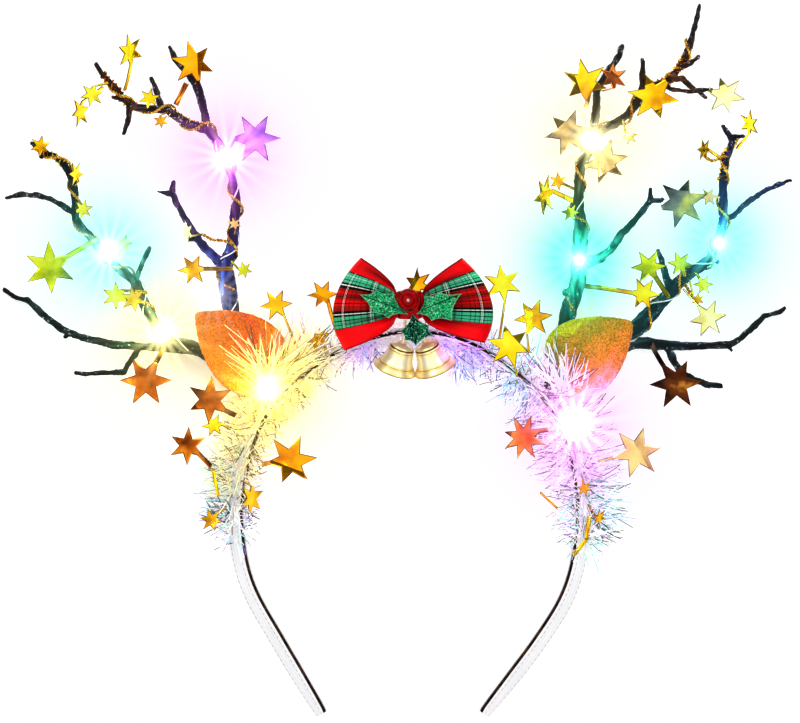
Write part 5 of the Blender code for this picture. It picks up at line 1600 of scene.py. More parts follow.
@dataclass
class Holly:
    """The holly sprig: three glitter leaves and a berry."""

    thick: float = 0.5
    hollow: float = 0.34
    fold: float = 1.2
    fold_reach: float = 6.0
    edge_steps: int = 9
    rings: int = 16
    berry_place: Row = (4.3, 23.3, 35.0)
    berry_radius: float = 4.4
    berry_rings: Row = (0.20, 0.52, 0.86)
    ring_width: float = 0.045
    ring_wobble: float = 0.06
    tip_width: float = 0.11
    edge_share: float = 0.955
    vein_height: float = 0.22
    rib_width: float = 0.28
    leaves: tuple[HollyLeaf, ...] = (
        HollyLeaf("left", ((4.0, 17.9), (-3.4, 16.4), (-9.9, 18.3), (-14.4, 25.4), (-8.2, 27.2),
                           (-1.4, 25.9)), (4.0, 18.6), (-14.4, 25.4), 30.8, 35.2),
        HollyLeaf("right", ((7.4, 18.0), (10.4, 24.8), (16.2, 26.5), (24.5, 25.8), (20.8, 15.4),
                            (13.0, 15.3)), (7.4, 18.6), (24.5, 25.8), 30.8, 35.2),
        HollyLeaf("lower", ((5.7, 18.2), (1.0, 11.2), (2.6, 8.0), (7.1, 5.8), (13.7, 10.0),
                            (12.4, 13.6)), (5.7, 18.2), (7.1, 5.8), 30.8, 31.0),
    )

    def outline(self, leaf: HollyLeaf, middle: Vector) -> list[Vector]:
        """A leaf's outline, with a hollow curve between each two spines.

        Args:
            leaf: the leaf.
            middle: the middle of its spines.

        Returns:
            The outline's places.
        """
        places = []
        for spine, following in zip(leaf.spines, leaf.spines[1:] + leaf.spines[:1]):
            start = Vector(spine)
            end = Vector(following)
            pull = ((start + end) / 2).lerp(middle, self.hollow)
            for step in range(self.edge_steps):
                t = step / self.edge_steps
                places.append(start * (1 - t)**2 + pull * (2 * t * (1 - t)) + end * t**2)
        return places

    def leaf_mesh(self, leaf: HollyLeaf) -> Mesh:
        """A leaf's sheet: its outline drawn in ring by ring, folded and veined.

        Args:
            leaf: the leaf.

        Returns:
            The sheet.
        """
        root = Vector(leaf.root)
        rib = Vector(leaf.tip) - root
        middle = sum((Vector(spine) for spine in leaf.spines), Vector((0.0, 0.0))) / len(leaf.spines)
        builder = bmesh.new()
        rim = builder.verts.layers.float.new("rim")
        midrib = builder.verts.layers.float.new("midrib")
        outline = self.outline(leaf, middle)
        ring = [builder.verts.new((*place, 0.0)) for place in outline]
        edges = [builder.edges.new(pair) for pair in zip(ring, ring[1:] + ring[:1])]
        for vert in ring:
            vert[rim] = 1.0
        for step in range(1, self.rings + 1):
            ring, edges = next_row(builder, edges)
            share = self.edge_share if step == 1 else 1.0 - step / (self.rings + 1)
            for vert, place in zip(ring, outline):
                inner = middle.lerp(place, share)
                vert.co = Vector((*inner, 0.0))
                vert[rim] = 0.75 if step == 1 else 0.0
        bmesh.ops.pointmerge(builder, verts=ring, merge_co=Vector((*middle, 0.0)))
        for vert in builder.verts:
            away = vert.co.xy - root
            share = away.dot(rib) / rib.length_squared
            aside = abs(away.cross(rib)) / rib.length
            vein = self.vein_height * cos((share * rib.length - aside * 0.8) * 1.9)
            lift = leaf.lift_root + (leaf.lift_tip - leaf.lift_root) * share
            vert.co.z = lift + self.fold * aside / self.fold_reach + vein * min(1.0, aside / 1.5)
            vert[midrib] = exp(-(aside / self.rib_width)**2) * (0.2 if vert[rim] else 1.0)
        bmesh.ops.scale(builder, verts=builder.verts, vec=(MM, MM, MM))
        return mesh_from(builder)

    def build(self) -> None:
        """Makes the leaves and the berry."""
        for leaf in self.leaves:
            mesh = walled(self.leaf_mesh(leaf), self.thick)
            finish = DARK_LEAF if leaf.side == "lower" else LEAF
            add_piece(f"glitter_leaf_{leaf.side}", mesh, finish, [f"holly_leaf_{leaf.side}"],
                      sharp_above=50.0)
        berry = bmesh.new()
        bmesh.ops.create_uvsphere(berry, u_segments=56, v_segments=36, radius=self.berry_radius * MM)
        # crease holds the painted shade in the ring grooves; tip holds where the painted highlight goes
        crease = berry.verts.layers.float.new("crease")
        tip = berry.verts.layers.float.new("tip")
        for vert in berry.verts:
            away = vert.co / (self.berry_radius * MM)
            spiral = hypot(away.x, away.y) + self.ring_wobble * sin(atan2(away.y, away.x) + 1.0)
            rings = sum(exp(-((spiral - ring) / self.ring_width)**2) for ring in self.berry_rings)
            if away.z > 0.0:
                vert[crease] = min(1.0, rings)
                vert[tip] = exp(-(spiral / self.tip_width)**2)
            vert.co *= 1.0 - 0.05 * vert[crease] - 0.012 * noise.noise(away * 2.5)
        bmesh.ops.translate(berry, verts=berry.verts, vec=vector(self.berry_place) * MM)
        add_piece("berry", mesh_from(berry), BERRY, ["holly_berry"])


@dataclass(frozen=True)
class BellPlace:
    """A bell: its mouth's middle, the way it points in degrees, and the run of its tie."""

    side: str
    mouth: Row
    heading: float
    tie: tuple[Row, ...]


@dataclass
class Bells:
    """The two gilt bells, turned from one outline."""

    pitch: float = -20.0
    height: float = 11.0
    growth: float = 1.06
    steps: int = 72
    tie_radius: float = 0.55
    # Distance below the crown, radius, and depth of the groove's shade
    outline: tuple[Row, ...] = (
        (0.0, 0.0, 0.0), (0.0, 0.8, 0.0), (0.2, 2.0, 0.0), (0.7, 3.2, 0.0), (1.3, 4.0, 0.0),
        (1.7, 4.35, 0.2), (1.95, 4.25, 1.0), (2.2, 4.45, 0.9), (2.5, 4.65, 0.1), (2.8, 4.70, 0.0),
        (3.1, 4.60, 0.8), (3.3, 4.72, 0.2), (4.2, 4.90, 0.0), (5.4, 5.12, 0.0), (6.6, 5.45, 0.0),
        (7.6, 5.90, 0.0), (8.4, 6.40, 0.2), (8.6, 6.38, 0.8), (8.8, 6.58, 0.3), (9.5, 7.10, 0.06),
        (10.2, 7.66, 0.16), (10.55, 7.92, 0.35), (10.85, 8.0, 0.85), (11.05, 7.85, 1.0), (11.0, 7.5, 0.2),
        (10.5, 7.05, 0.1), (9.2, 6.2, 0.1), (7.4, 5.25, 0.2), (5.4, 4.55, 0.3), (3.0, 4.05, 0.4),
        (1.8, 3.4, 0.5), (1.2, 0.0, 0.6),
    )
    places: tuple[BellPlace, ...] = (
        BellPlace("left", (-1.1, -3.1, 21.6), 250.8, ((2.6, 9.0, 26.0), (3.0, 15.6, 26.5))),
        BellPlace("right", (14.6, -2.9, 21.6), 291.8, ((10.2, 9.0, 26.0), (7.4, 15.6, 26.5))),
    )

    def build(self) -> None:
        """Makes the bells with their ties."""
        for bell in self.places:
            builder = bmesh.new()
            groove_shade = builder.verts.layers.float.new("groove_shade")
            line = []
            for along, radius, shade in self.outline:
                vert = builder.verts.new(Vector((radius, 0.0, self.height - along)) * self.growth * MM)
                vert[groove_shade] = shade
                line.append(vert)
            edges = [builder.edges.new(pair) for pair in zip(line, line[1:])]
            bmesh.ops.spin(builder, geom=line + edges, cent=(0, 0, 0), axis=(0, 0, 1), angle=tau,
                           steps=self.steps, use_merge=True)
            bmesh.ops.remove_doubles(builder, verts=builder.verts, dist=WELD * MM)
            heading = radians(bell.heading)
            pitch = radians(self.pitch)
            way = Vector((cos(heading) * cos(pitch), sin(heading) * cos(pitch),
                          sin(pitch)))
            turn = (-way).to_track_quat("Z", "Y").to_matrix().to_4x4()
            builder.transform(Matrix.Translation(vector(bell.mouth) * MM) @ turn)
            crown = vector(bell.mouth) - way * (self.height - 0.5)
            tie = smooth_rows([tuple(crown), *bell.tie], 8)
            mesh = joined([mesh_from(builder), wire_mesh([Vector(row) for row in tie], self.tie_radius, 2)])
            add_piece(f"gilt_bell_{bell.side}", mesh, GILT, [f"bell_{bell.side}"], sharp_above=70.0)


@dataclass(frozen=True)
class Star:
    """A foil star: its place, radius and leans, its turn from its leg's way, and the leg's end."""

    name: str
    x: float
    y: float
    z: float
    radius: float
    turn: float
    lean_x: float
    lean_y: float
    seat: Row
    tone: FoilTone = GOLD
    # Each fold: the way it lies in degrees, its share of the radius from the middle, its bend in degrees
    folds: tuple[Row, ...] = ()
    points: int = 6
    leg: float = 1.9


LARGE_STARS = [
    Star("star_01", -133.0, 35.8, 26.0, 10.4, 2, 6, -6, (-114.6, 47.1, 23.0), LIME, ((238, 0.16, 16),)),
    Star("star_02", -96.8, -7.7, 16.0, 10.4, 0, -10, 10, (-89.9, 5.3, 8.1), COPPER, ((10, 0.10, 16),)),
    Star("star_03", -80.6, -32.7, 15.0, 7.7, 0, 8, -10, (-71.4, -40.5, 21.8), COPPER, ((160, 0.25, 24),)),
    Star("star_04", -71.8, -15.0, 26.2, 9.4, 0, 8, -8, (-62.0, -20.9, 23.6), COPPER,
         ((213, 0.62, 51), (40, 0.34, -16))),
    Star("star_05", -41.0, -38.3, 27.8, 10.7, 4, -8, 8, (-51.9, -39.7, 23.0), AMBER,
         ((250, 0.22, 30), (312, 0.74, 37))),
    Star("star_06", -56.0, -52.7, 28.5, 7.3, 0, 5, 52, (-59.4, -45.8, 25.0), AMBER, ((235, 0.55, 36),)),
    Star("star_07", -78.3, 35.0, 24.5, 6.5, 0, -12, 10, (-63.3, 35.5, 17.3), GOLD),
    Star("star_08", -46.4, 21.5, 28.0, 6.5, 10, 8, 8, (-37.5, 2.5, 22.7), AMBER, leg=0.8),
    Star("star_09", -54.6, 85.2, 25.0, 10.4, -30, -6, 8, (-65.5, 78.6, 21.5), LILAC, ((40, 0.15, 14),)),
    Star("star_10", -78.0, 114.2, 21.0, 9.4, 8, 10, 6, (-77.2, 106.5, 16.5), AMBER, ((2, 0.14, 45),)),
    Star("star_11", -102.4, 118.2, 33.0, 7.3, 12, 8, 50, (-104.4, 103.5, 30.0), LEMON),
    Star("star_12", -108.0, 25.0, 23.0, 5.8, 20, -16, -10, (-96.1, 26.3, 19.0), LEMON),
    Star("star_13", 40.3, 29.6, 25.0, 7.7, 12, 8, -8, (39.0, 7.5, 19.7), LEMON, leg=0.8),
    Star("star_14", 52.0, 16.6, 26.5, 7.9, -20, -8, 10, (50.5, 3.6, 20.9), LEMON,
         ((124, 0.55, 40),), leg=0.8),
    Star("star_15", 43.0, 5.9, 27.5, 9.2, 0, 8, 6, (46.0, -6.0, 25.5), LEMON,
         ((42, 0.36, 38), (102, 0.62, 32)), leg=0.8),
    Star("star_16", 71.8, 106.6, 26.0, 9.8, 0, -8, 6, (72.4, 97.6, 19.3), LEMON,
         ((200, 0.28, 32), (330, 0.40, 40))),
    Star("star_17", 98.0, 101.2, 31.5, 10.2, 0, 5, -5, (103.5, 107.6, 27.0), LEMON,
         ((-70, 0.52, 43), (110, 0.50, 37))),
    Star("star_18", 125.4, 101.6, 33.5, 8.0, 8, -6, -8, (119.1, 104.0, 31.4), PALE, ((108, 0.50, 48),)),
    Star("star_19", 65.4, 87.6, 27.5, 9.6, 0, 8, -10, (74.8, 78.7, 22.2), DUSK, ((134, 0.40, 40),)),
    Star("star_20", 79.6, 76.4, 24.5, 9.6, 0, -8, 8, (71.9, 74.3, 23.8), DUSK, ((-58, 0.40, 36),)),
    Star("star_21", 135.0, 90.8, 26.0, 5.8, 12, 12, -52, (130.1, 81.3, 25.1), LEMON),
    Star("star_22", 108.6, 60.8, 31.6, 10.6, 20, 6, 6, (101.0, 61.8, 27.2), OLIVE, ((84, 0.42, 34),)),
    Star("star_23", 96.4, 36.0, 25.5, 7.2, 0, -8, -8, (104.2, 24.4, 19.8), LIME, ((255, 0.12, 14),)),
    Star("star_24", 119.2, 16.4, 22.0, 7.7, 0, 10, 14, (109.7, 27.6, 20.1), PALE, leg=0.8),
    Star("star_25", 107.0, -8.6, 22.0, 10.6, 0, -8, -8, (97.8, 6.7, 8.6), DARK, ((80, 0.12, 30),)),
    Star("star_26", 48.5, -29.4, 27.0, 9.2, 10, 8, 6, (57.9, -26.3, 25.3), ORANGE,
         ((168, 0.56, 34), (265, 0.60, 34)), points=8),
    Star("star_27", 91.8, -35.0, 25.0, 10.4, 0, 6, -8, (77.0, -38.5, 24.6), ROSE,
         ((30, 0.1, 14),), leg=0.8),
]

# The small stars, by what carries them
SMALL_STARS: dict[str, list[Star]] = {
    "left_high": [
        Star("tip", -136.8, 82.4, 23.5, 4.5, 10, 12, -12, (-134.0, 80.0, 21.6), LEMON),
        Star("upper", -123.2, 71.5, 27.0, 5.4, 20, 0, 58, (-124.4, 66.5, 25.2), LEMON),
        Star("middle", -120.3, 58.1, 28.0, 4.2, 25, -10, 12, (-123.0, 58.0, 25.6), LEMON),
        Star("lit", -105.3, 44.7, 23.5, 4.2, 0, 16, 10, (-108.5, 38.0, 20.4), LIME),
        Star("foot", -101.2, 23.8, 26.0, 5.6, 12, 12, 14, (-97.2, 21.5, 19.6), LEMON, ((300, 0.3, 30),)),
    ],
    "left_upright": [
        Star("tip", -116.8, 102.0, 30.5, 5.0, 40, 10, -12, (-110.6, 106.5, 28.4), LEMON),
        Star("hanging", -121.6, 95.6, 26.0, 6.4, 8, 10, 58, (-112.6, 105.0, 27.0), LEMON),
        Star("middle", -94.9, 100.5, 29.0, 4.4, 15, -12, 10, (-93.5, 97.0, 26.6), LEMON),
        Star("lower", -90.6, 92.0, 27.5, 3.2, 55, 12, 12, (-88.0, 95.4, 25.0), GOLD),
        Star("rose", -62.6, 52.6, 20.5, 3.0, 18, 15, -14, (-62.6, 48.6, 18.6), ROSE),
        Star("rope_end", -80.6, 49.7, 22.0, 4.8, 12, 20, -52, (-74.6, 48.6, 20.6), PALE),
        Star("green", -59.0, 35.0, 18.5, 3.6, 20, 12, 14, (-64.0, 38.5, 17.0), LIME),
    ],
    "right_upright": [
        Star("copper", 82.6, 108.6, 24.6, 6.4, 10, -10, 34, (78.6, 103.6, 20.0), ORANGE, ((60, 0.3, 35),)),
        Star("upper", 88.8, 86.2, 26.5, 3.6, 30, -12, 14, (86.5, 92.6, 24.4), PALE),
        Star("long", 56.6, 63.6, 22.5, 8.4, 30, 6, 58, (67.6, 61.5, 21.0), LEMON, ((-78, 0.7, 35),)),
        Star("yellow", 61.8, 68.9, 23.5, 3.8, 5, 12, -12, (68.0, 66.0, 21.2), LEMON),
        Star("green", 66.4, 57.0, 24.5, 3.8, 45, -12, -12, (68.4, 60.0, 20.8), LIME),
        Star("long_leg", 94.3, 25.8, 24.0, 6.8, 0, 8, 8, (72.2, 28.8, 17.0), LEMON, ((218, 0.50, 34),)),
    ],
    "right_high": [
        Star("tip", 117.6, 80.9, 25.0, 4.8, 30, 10, 50, (124.4, 77.6, 25.0), LEMON),
        Star("rose", 119.2, 62.8, 29.0, 3.8, 20, 14, -14, (123.6, 62.5, 26.6), ROSE),
        Star("lit", 108.6, 37.2, 22.5, 5.2, 8, 10, -10, (110.4, 32.4, 20.4), LIME),
        Star("green", 117.3, 29.3, 24.0, 4.2, 10, -12, 14, (114.5, 34.0, 21.0), LIME),
        Star("foot", 115.2, 23.6, 21.0, 3.0, 40, 14, 18, (112.2, 30.6, 20.2), LEMON),
    ],
    "tinsel": [
        Star("behind_bow", 7.4, 29.6, 19.6, 6.6, 8, -10, 8, (7.0, 12.0, 18.6), AMBER, ((150, 0.05, 42),)),
        Star("beside_bow", -28.6, 25.4, 19.0, 6.2, 14, 8, -14, (-22.5, 9.5, 18.6), AMBER,
             ((250, 0.1, 40),)),
        Star("folded", -30.4, 9.0, 24.0, 5.8, 14, 20, 30, (-27.0, 2.5, 19.5), LEMON, ((100, 0.0, 38),)),
        Star("shoulder", -70.4, -24.6, 24.0, 4.8, 20, 14, 10, (-64.0, -26.0, 22.5), LEMON),
        Star("left_foot", -71.4, -61.0, 23.5, 4.8, 8, 10, 14, (-66.0, -56.0, 22.0), GOLD,
             ((-60, 0.3, 40),)),
        Star("right_low", 71.6, -48.8, 27.0, 3.2, 20, 14, 10, (71.2, -45.0, 24.5), AMBER),
        Star("right_foot", 77.4, -60.0, 24.0, 3.8, 50, 20, 42, (73.5, -55.5, 22.5), GOLD),
    ],
}

# Loose strips of foil: both ends in the frame's places, the width, and the tone
FOIL_STRIPS: list[tuple[Row, Row, float, FoilTone]] = [
    ((-81.0, 106.6, 20.4), (-85.0, 98.2, 23.4), 2.1, COPPER),
    ((73.6, -59.6, 21.8), (72.6, -68.6, 20.6), 1.8, LEMON),
    ((72.6, -68.6, 20.6), (67.6, -74.6, 18.4), 1.6, LEMON),
    ((54.8, -50.4, 21.4), (61.4, -56.6, 20.2), 1.0, COPPER),
    ((-68.6, -52.0, 23.6), (-70.8, -41.6, 23.0), 1.3, LEMON),
]


@dataclass
class Stars:
    """The foil stars, each cut flat, folded where it was bent, and held by its own leg."""

    foil: float = 0.14
    edge: float = 0.40
    edge_share: float = 0.07
    edge_drop: float = 0.17
    sharp_above: float = 11.0
    crumple: float = 0.22
    crumple_scale: float = 0.22
    curl: float = 0.045
    inner: float = 0.44
    leg_share: float = 0.13
    strip_twist: float = 0.5
    strip_bow: float = 0.6
    cuts: int = 2

    def outline(self, star: Star, leg_way: float) -> list[Vector]:
        """A star's outline, one of whose points is cut off where it runs on into the leg.

        Args:
            star: the star.
            leg_way: the way of its leg, in radians.

        Returns:
            The outline's places in the star's own plane. The first edge is the leg's.
        """
        half_step = pi / star.points
        half_leg = self.half_leg(star)
        taper = (1.0 - self.inner * cos(half_step)) / (self.inner * sin(half_step))
        places = []
        for corner in range(2 * star.points):
            angle = leg_way + radians(star.turn) + half_step * corner
            way = flat_way(angle)
            if corner == 0:
                root = way * (star.radius - half_leg * taper)
                aside = Vector((-way.y, way.x, 0.0)) * half_leg
                places += [root - aside, root + aside]
            else:
                places.append(way * star.radius * (self.inner if corner % 2 else 1.0))
        return places

    def half_leg(self, star: Star) -> float:
        """Half the width of a star's leg."""
        return min(star.leg / 2, star.radius * self.leg_share)

    def bent(self, star: Star, place: Vector, share: float, seed: float) -> Vector:
        """A place on a star after its curl and its folds.

        Args:
            star: the star.
            place: the flat place.
            share: how much of the curl and the folds it takes, none at the leg's end.
            seed: shifts the curl from star to star.

        Returns:
            The bent place.
        """
        away = place.xy.length / star.radius
        angle = atan2(place.y, place.x)
        lift = self.curl * star.radius * away * away * cos(angle * star.points / 2 + seed)
        lift += self.curl * star.radius * cos(angle + seed * 1.7) ** 2 * away
        bent = place + UP * lift * share
        for way, offset, bend in star.folds:
            across = flat_way(radians(way))
            beyond = (place.dot(across) - offset * star.radius) * share
            if beyond > 0.0:
                turn = radians(bend)
                bent += across * beyond * (cos(turn) - 1.0) + UP * beyond * sin(turn)
        return bent

    def sheet(self, star: Star, seed: float) -> BMesh:
        """A star with its leg, as an open sheet in metres.

        Args:
            star: the star.
            seed: shifts its crumples.

        Returns:
            The sheet.
        """
        centre = Vector((star.x, star.y, star.z))
        lean = (Matrix.Rotation(radians(star.lean_x), 3, "X")
                @ Matrix.Rotation(radians(star.lean_y), 3, "Y"))
        seat = lean.inverted() @ (vector(star.seat) - centre)
        places = self.outline(star, atan2(seat.y, seat.x))
        builder = bmesh.new()
        share = builder.verts.layers.float.new("share")
        rim = builder.verts.layers.float.new("rim")
        bmesh.ops.create_circle(builder, segments=len(places), radius=1.0, cap_ends=True)
        builder.verts.ensure_lookup_table()
        for vert, place in zip(builder.verts, places):
            vert.co = place
            vert[share] = 1.0
        leg = builder.edges.get(builder.verts[:2])
        roots = builder.verts[:2]
        ends = next_row(builder, [leg])[0]
        aside = Vector((-seat.y, seat.x, 0.0)).normalized() * self.half_leg(star)
        ends.sort(key=lambda vert: (vert.co - roots[0].co).length)
        for vert, side in zip(ends, (-1, 1)):
            vert.co = seat + aside * side
            vert[share] = 0.0
        bmesh.ops.recalc_face_normals(builder, faces=builder.faces)
        if sum(face.normal.z * face.calc_area() for face in builder.faces) < 0:
            bmesh.ops.reverse_faces(builder, faces=builder.faces)
        edge = min(self.edge, self.edge_share * star.radius)
        inner = bmesh.ops.inset_region(builder, faces=builder.faces[:], thickness=edge,
                                       depth=self.edge_drop * edge / self.edge, use_even_offset=True,
                                       use_boundary=True)
        border = set(inner["faces"])
        for vert in builder.verts:
            vert[rim] = 1.0 if vert.is_boundary else 0.0
        within = [face for face in builder.faces if face not in border]
        middle = max(within, key=lambda face: face.calc_area())
        bmesh.ops.poke(builder, faces=[middle])
        for way, offset, bend in star.folds:
            across = flat_way(radians(way))
            bmesh.ops.bisect_plane(builder, geom=builder.verts[:] + builder.edges[:] + builder.faces[:],
                                   plane_co=across * offset * star.radius, plane_no=across)
        bmesh.ops.triangulate(builder, faces=[face for face in builder.faces if len(face.verts) > 4])
        bmesh.ops.subdivide_edges(builder, edges=builder.edges[:], cuts=self.cuts, use_grid_fill=True)
        for vert in builder.verts:
            bent = self.bent(star, vert.co, vert[share], seed)
            spot = vert.co * self.crumple_scale + Vector((seed, -seed, 2 * seed))
            bent.z += noise.noise(spot) * self.crumple * (1.5 if vert[share] < 0.9 else 1.0)
            vert.co = (centre + lean @ bent) * MM
        return builder

    def foil_mesh(self, star: Star, seed: float) -> Mesh:
        """A star's foil with its thin wall; the seed shifts its crumples."""
        return walled(mesh_from(self.sheet(star, seed)), self.foil)

    def strip_mesh(self, start: Row, end: Row, width: float, seed: float) -> Mesh:
        """A loose strip of foil with a slight twist.

        Args:
            start: one end's place.
            end: the other end's place.
            width: its width.
            seed: shifts its twist.

        Returns:
            The mesh.
        """
        way = vector(end) - vector(start)
        builder = bmesh.new()
        bmesh.ops.create_grid(builder, x_segments=10, y_segments=2, size=0.5)
        for vert in builder.verts:
            along = vert.co.x + 0.5
            twist = self.strip_twist * sin(3.0 * along + seed)
            aside = Matrix.Rotation(twist, 3, way) @ way.cross(UP).normalized()
            bow = UP * sin(pi * along) * self.strip_bow
            vert.co = (vector(start) + way * along + bow + aside * vert.co.y * width) * MM
        return walled(mesh_from(builder), self.foil)

    def build(self) -> None:
        """Makes the large stars, the small ones and the loose strips."""
        for index, star in enumerate(LARGE_STARS):
            add_piece(f"foil_{star.name}", self.foil_mesh(star, 3.7 * index), star.tone.value,
                      [star.name], sharp_above=self.sharp_above)
        for carrier, stars in SMALL_STARS.items():
            for index, star in enumerate(stars):
                add_piece(f"small_star_{carrier}_{star.name}", self.foil_mesh(star, 2.3 * index),
                          star.tone.value, sharp_above=self.sharp_above)
        for index, (start, end, width, tone) in enumerate(FOIL_STRIPS):
            add_piece(f"foil_strip_{index + 1}", self.strip_mesh(start, end, width, 1.9 * index),
                      tone.value)


@dataclass
class Garlands:
    """The twisted gilt wires round the twigs, their ropes, and the wraps of foil."""

    wire_radius: float = 0.38
    twist_offset: float = 0.36
    twist_pitch: float = 2.8
    pitch: float = -17.0
    phase: float = 42.0
    gap: float = 0.75
    foil: float = 0.12
    wrap_gap: float = 0.80
    wrap_pitch: float = 3.8
    wrap_turn: float = 190.0
    wrap_rise: float = 0.15
    # Each wire: the twig, and its first row there
    runs: tuple[tuple[str, int], ...] = (
        ("left_high", 1), ("left_upright", 1), ("right_upright", 1), ("right_high", 0),
    )
    # Wraps of foil: the twig, its first and last row there, and the tone
    wraps: tuple[tuple[str, int, int, FoilTone], ...] = (
        ("left_upright", 1, 2, ROSE), ("left_upright", 14, 17, COPPER),
        ("left_upright", 10, 12, ROSE), ("left_high", 11, 14, LEMON),
        ("right_upright", 14, 18, AMBER), ("right_high", 10, 12, GOLD),
        ("right_high", 4, 5, LEMON),
    )
    # Ropes of the same gilt wire between a star and its twig
    ropes: tuple[tuple[Row, ...], ...] = (
        ((-74.6, 48.6, 20.6), (-71.0, 46.6, 20.4), (-66.8, 46.2, 19.6), (-62.6, 44.6, 18.6)),
        ((117.6, 78.6, 25.6), (120.4, 76.8, 26.4), (123.4, 77.6, 26.0), (126.4, 78.4, 24.6)),
        ((110.4, 29.4, 20.6), (112.6, 25.8, 21.4), (114.0, 22.6, 21.2)),
    )

    def twisted(self, line: Sequence[Vector]) -> Mesh:
        """Two fine wires twisted along a line.

        Args:
            line: the line's places.

        Returns:
            The two wires' mesh.
        """
        rows = [(*place, self.twist_offset) for place in line]
        strands = [wire_mesh(winding(rows, self.twist_pitch, 0.0, phase, 4), self.wire_radius, 0)
                   for phase in (0.0, 180.0)]
        return joined(strands)

    def wrap_mesh(self, twig: str, first: int, last: int) -> Mesh:
        """A band of foil wound round a twig.

        Args:
            twig: the twig's name.
            first: the first row of its route.
            last: the last row.

        Returns:
            The band's mesh.
        """
        rows = TWIG_ROUTES[twig][first:last + 1]
        near = winding(rows, self.wrap_pitch, self.wrap_gap, 0.0, 16)
        far = winding(rows, self.wrap_pitch, self.wrap_gap + self.wrap_rise, self.wrap_turn, 16)
        builder = bmesh.new()
        line = [builder.verts.new(place * MM) for place in near]
        edges = [builder.edges.new(pair) for pair in zip(line, line[1:])]
        for vert, place in zip(next_row(builder, edges)[0], far):
            vert.co = place * MM
        return walled(mesh_from(builder), self.foil)

    def build(self) -> None:
        """Makes the garlands, the ropes and the wraps."""
        for twig, first in self.runs:
            line = winding(TWIG_ROUTES[twig][first:], self.pitch, self.gap, self.phase, 4)
            add_piece(f"gilt_garland_{twig}", self.twisted(line), GILT_WIRE, [f"star_garland_{twig}"])
        for index, rope in enumerate(self.ropes):
            line = [Vector(row) for row in smooth_rows(rope, 5)]
            add_piece(f"gilt_rope_{index + 1}", self.twisted(line), GILT_WIRE)
        for index, (twig, first, last, tone) in enumerate(self.wraps):
            add_piece(f"foil_wrap_{index + 1}", self.wrap_mesh(twig, first, last), tone.value,
                      sharp_above=35.0)


@dataclass
class Lights:
    """The light strings: clear wires round the twigs, and drop bulbs."""

    wire_radius: float = 0.26
    pitch: float = 23.0
    phase: float = -42.0
    gap: float = 0.75
    neck: float = 0.35
    bulb_radius: float = 1.35
    bulb_length: float = 3.8
    bulb_lean: float = 55.0
    strength: float = 55.0
    # Each wire: the twig, and its first and last row there
    runs: tuple[tuple[str, int, int], ...] = (
        ("left_upright", 0, 9), ("left_high", 0, 7), ("right_upright", 0, 11), ("right_high", 0, 9),
    )

    def bulb_mesh(self, led: Led) -> Mesh:
        """A drop bulb.

        Args:
            led: the bulb.

        Returns:
            Its mesh.
        """
        builder = bmesh.new()
        bmesh.ops.create_uvsphere(builder, u_segments=24, v_segments=16, radius=1.0)
        for vert in builder.verts:
            radius = self.bulb_radius * (1 - self.neck * max(0.0, -vert.co.z))
            vert.co.x *= radius
            vert.co.y *= radius
            vert.co.z *= self.bulb_length / 2
        builder.transform(Matrix.Scale(MM, 4) @ Matrix.Translation(led.place)
                          @ Matrix.Rotation(radians(self.bulb_lean), 4, "X"))
        return mesh_from(builder)

    def build(self) -> None:
        """Makes the wires and the bulbs."""
        for twig, first, last in self.runs:
            line = winding(TWIG_ROUTES[twig][first:last + 1], self.pitch, self.gap, self.phase)
            add_piece(f"clear_wire_{twig}", wire_mesh(line, self.wire_radius), CLEAR_WIRE,
                      [f"light_string_{twig}"])
        stands_for = {"warm_tinsel": ["tinsel_light_left"], "pink_tinsel": ["tinsel_light_right"]}
        for led in LEDS:
            if led.shows:
                finish = LitBulb(f"lit_{led.name}", "light_bulb", 0.2, 0.0, led.colour,
                                 self.strength * led.power)
                add_piece(f"bulb_{led.name}", self.bulb_mesh(led), finish, stands_for.get(led.name, ()))


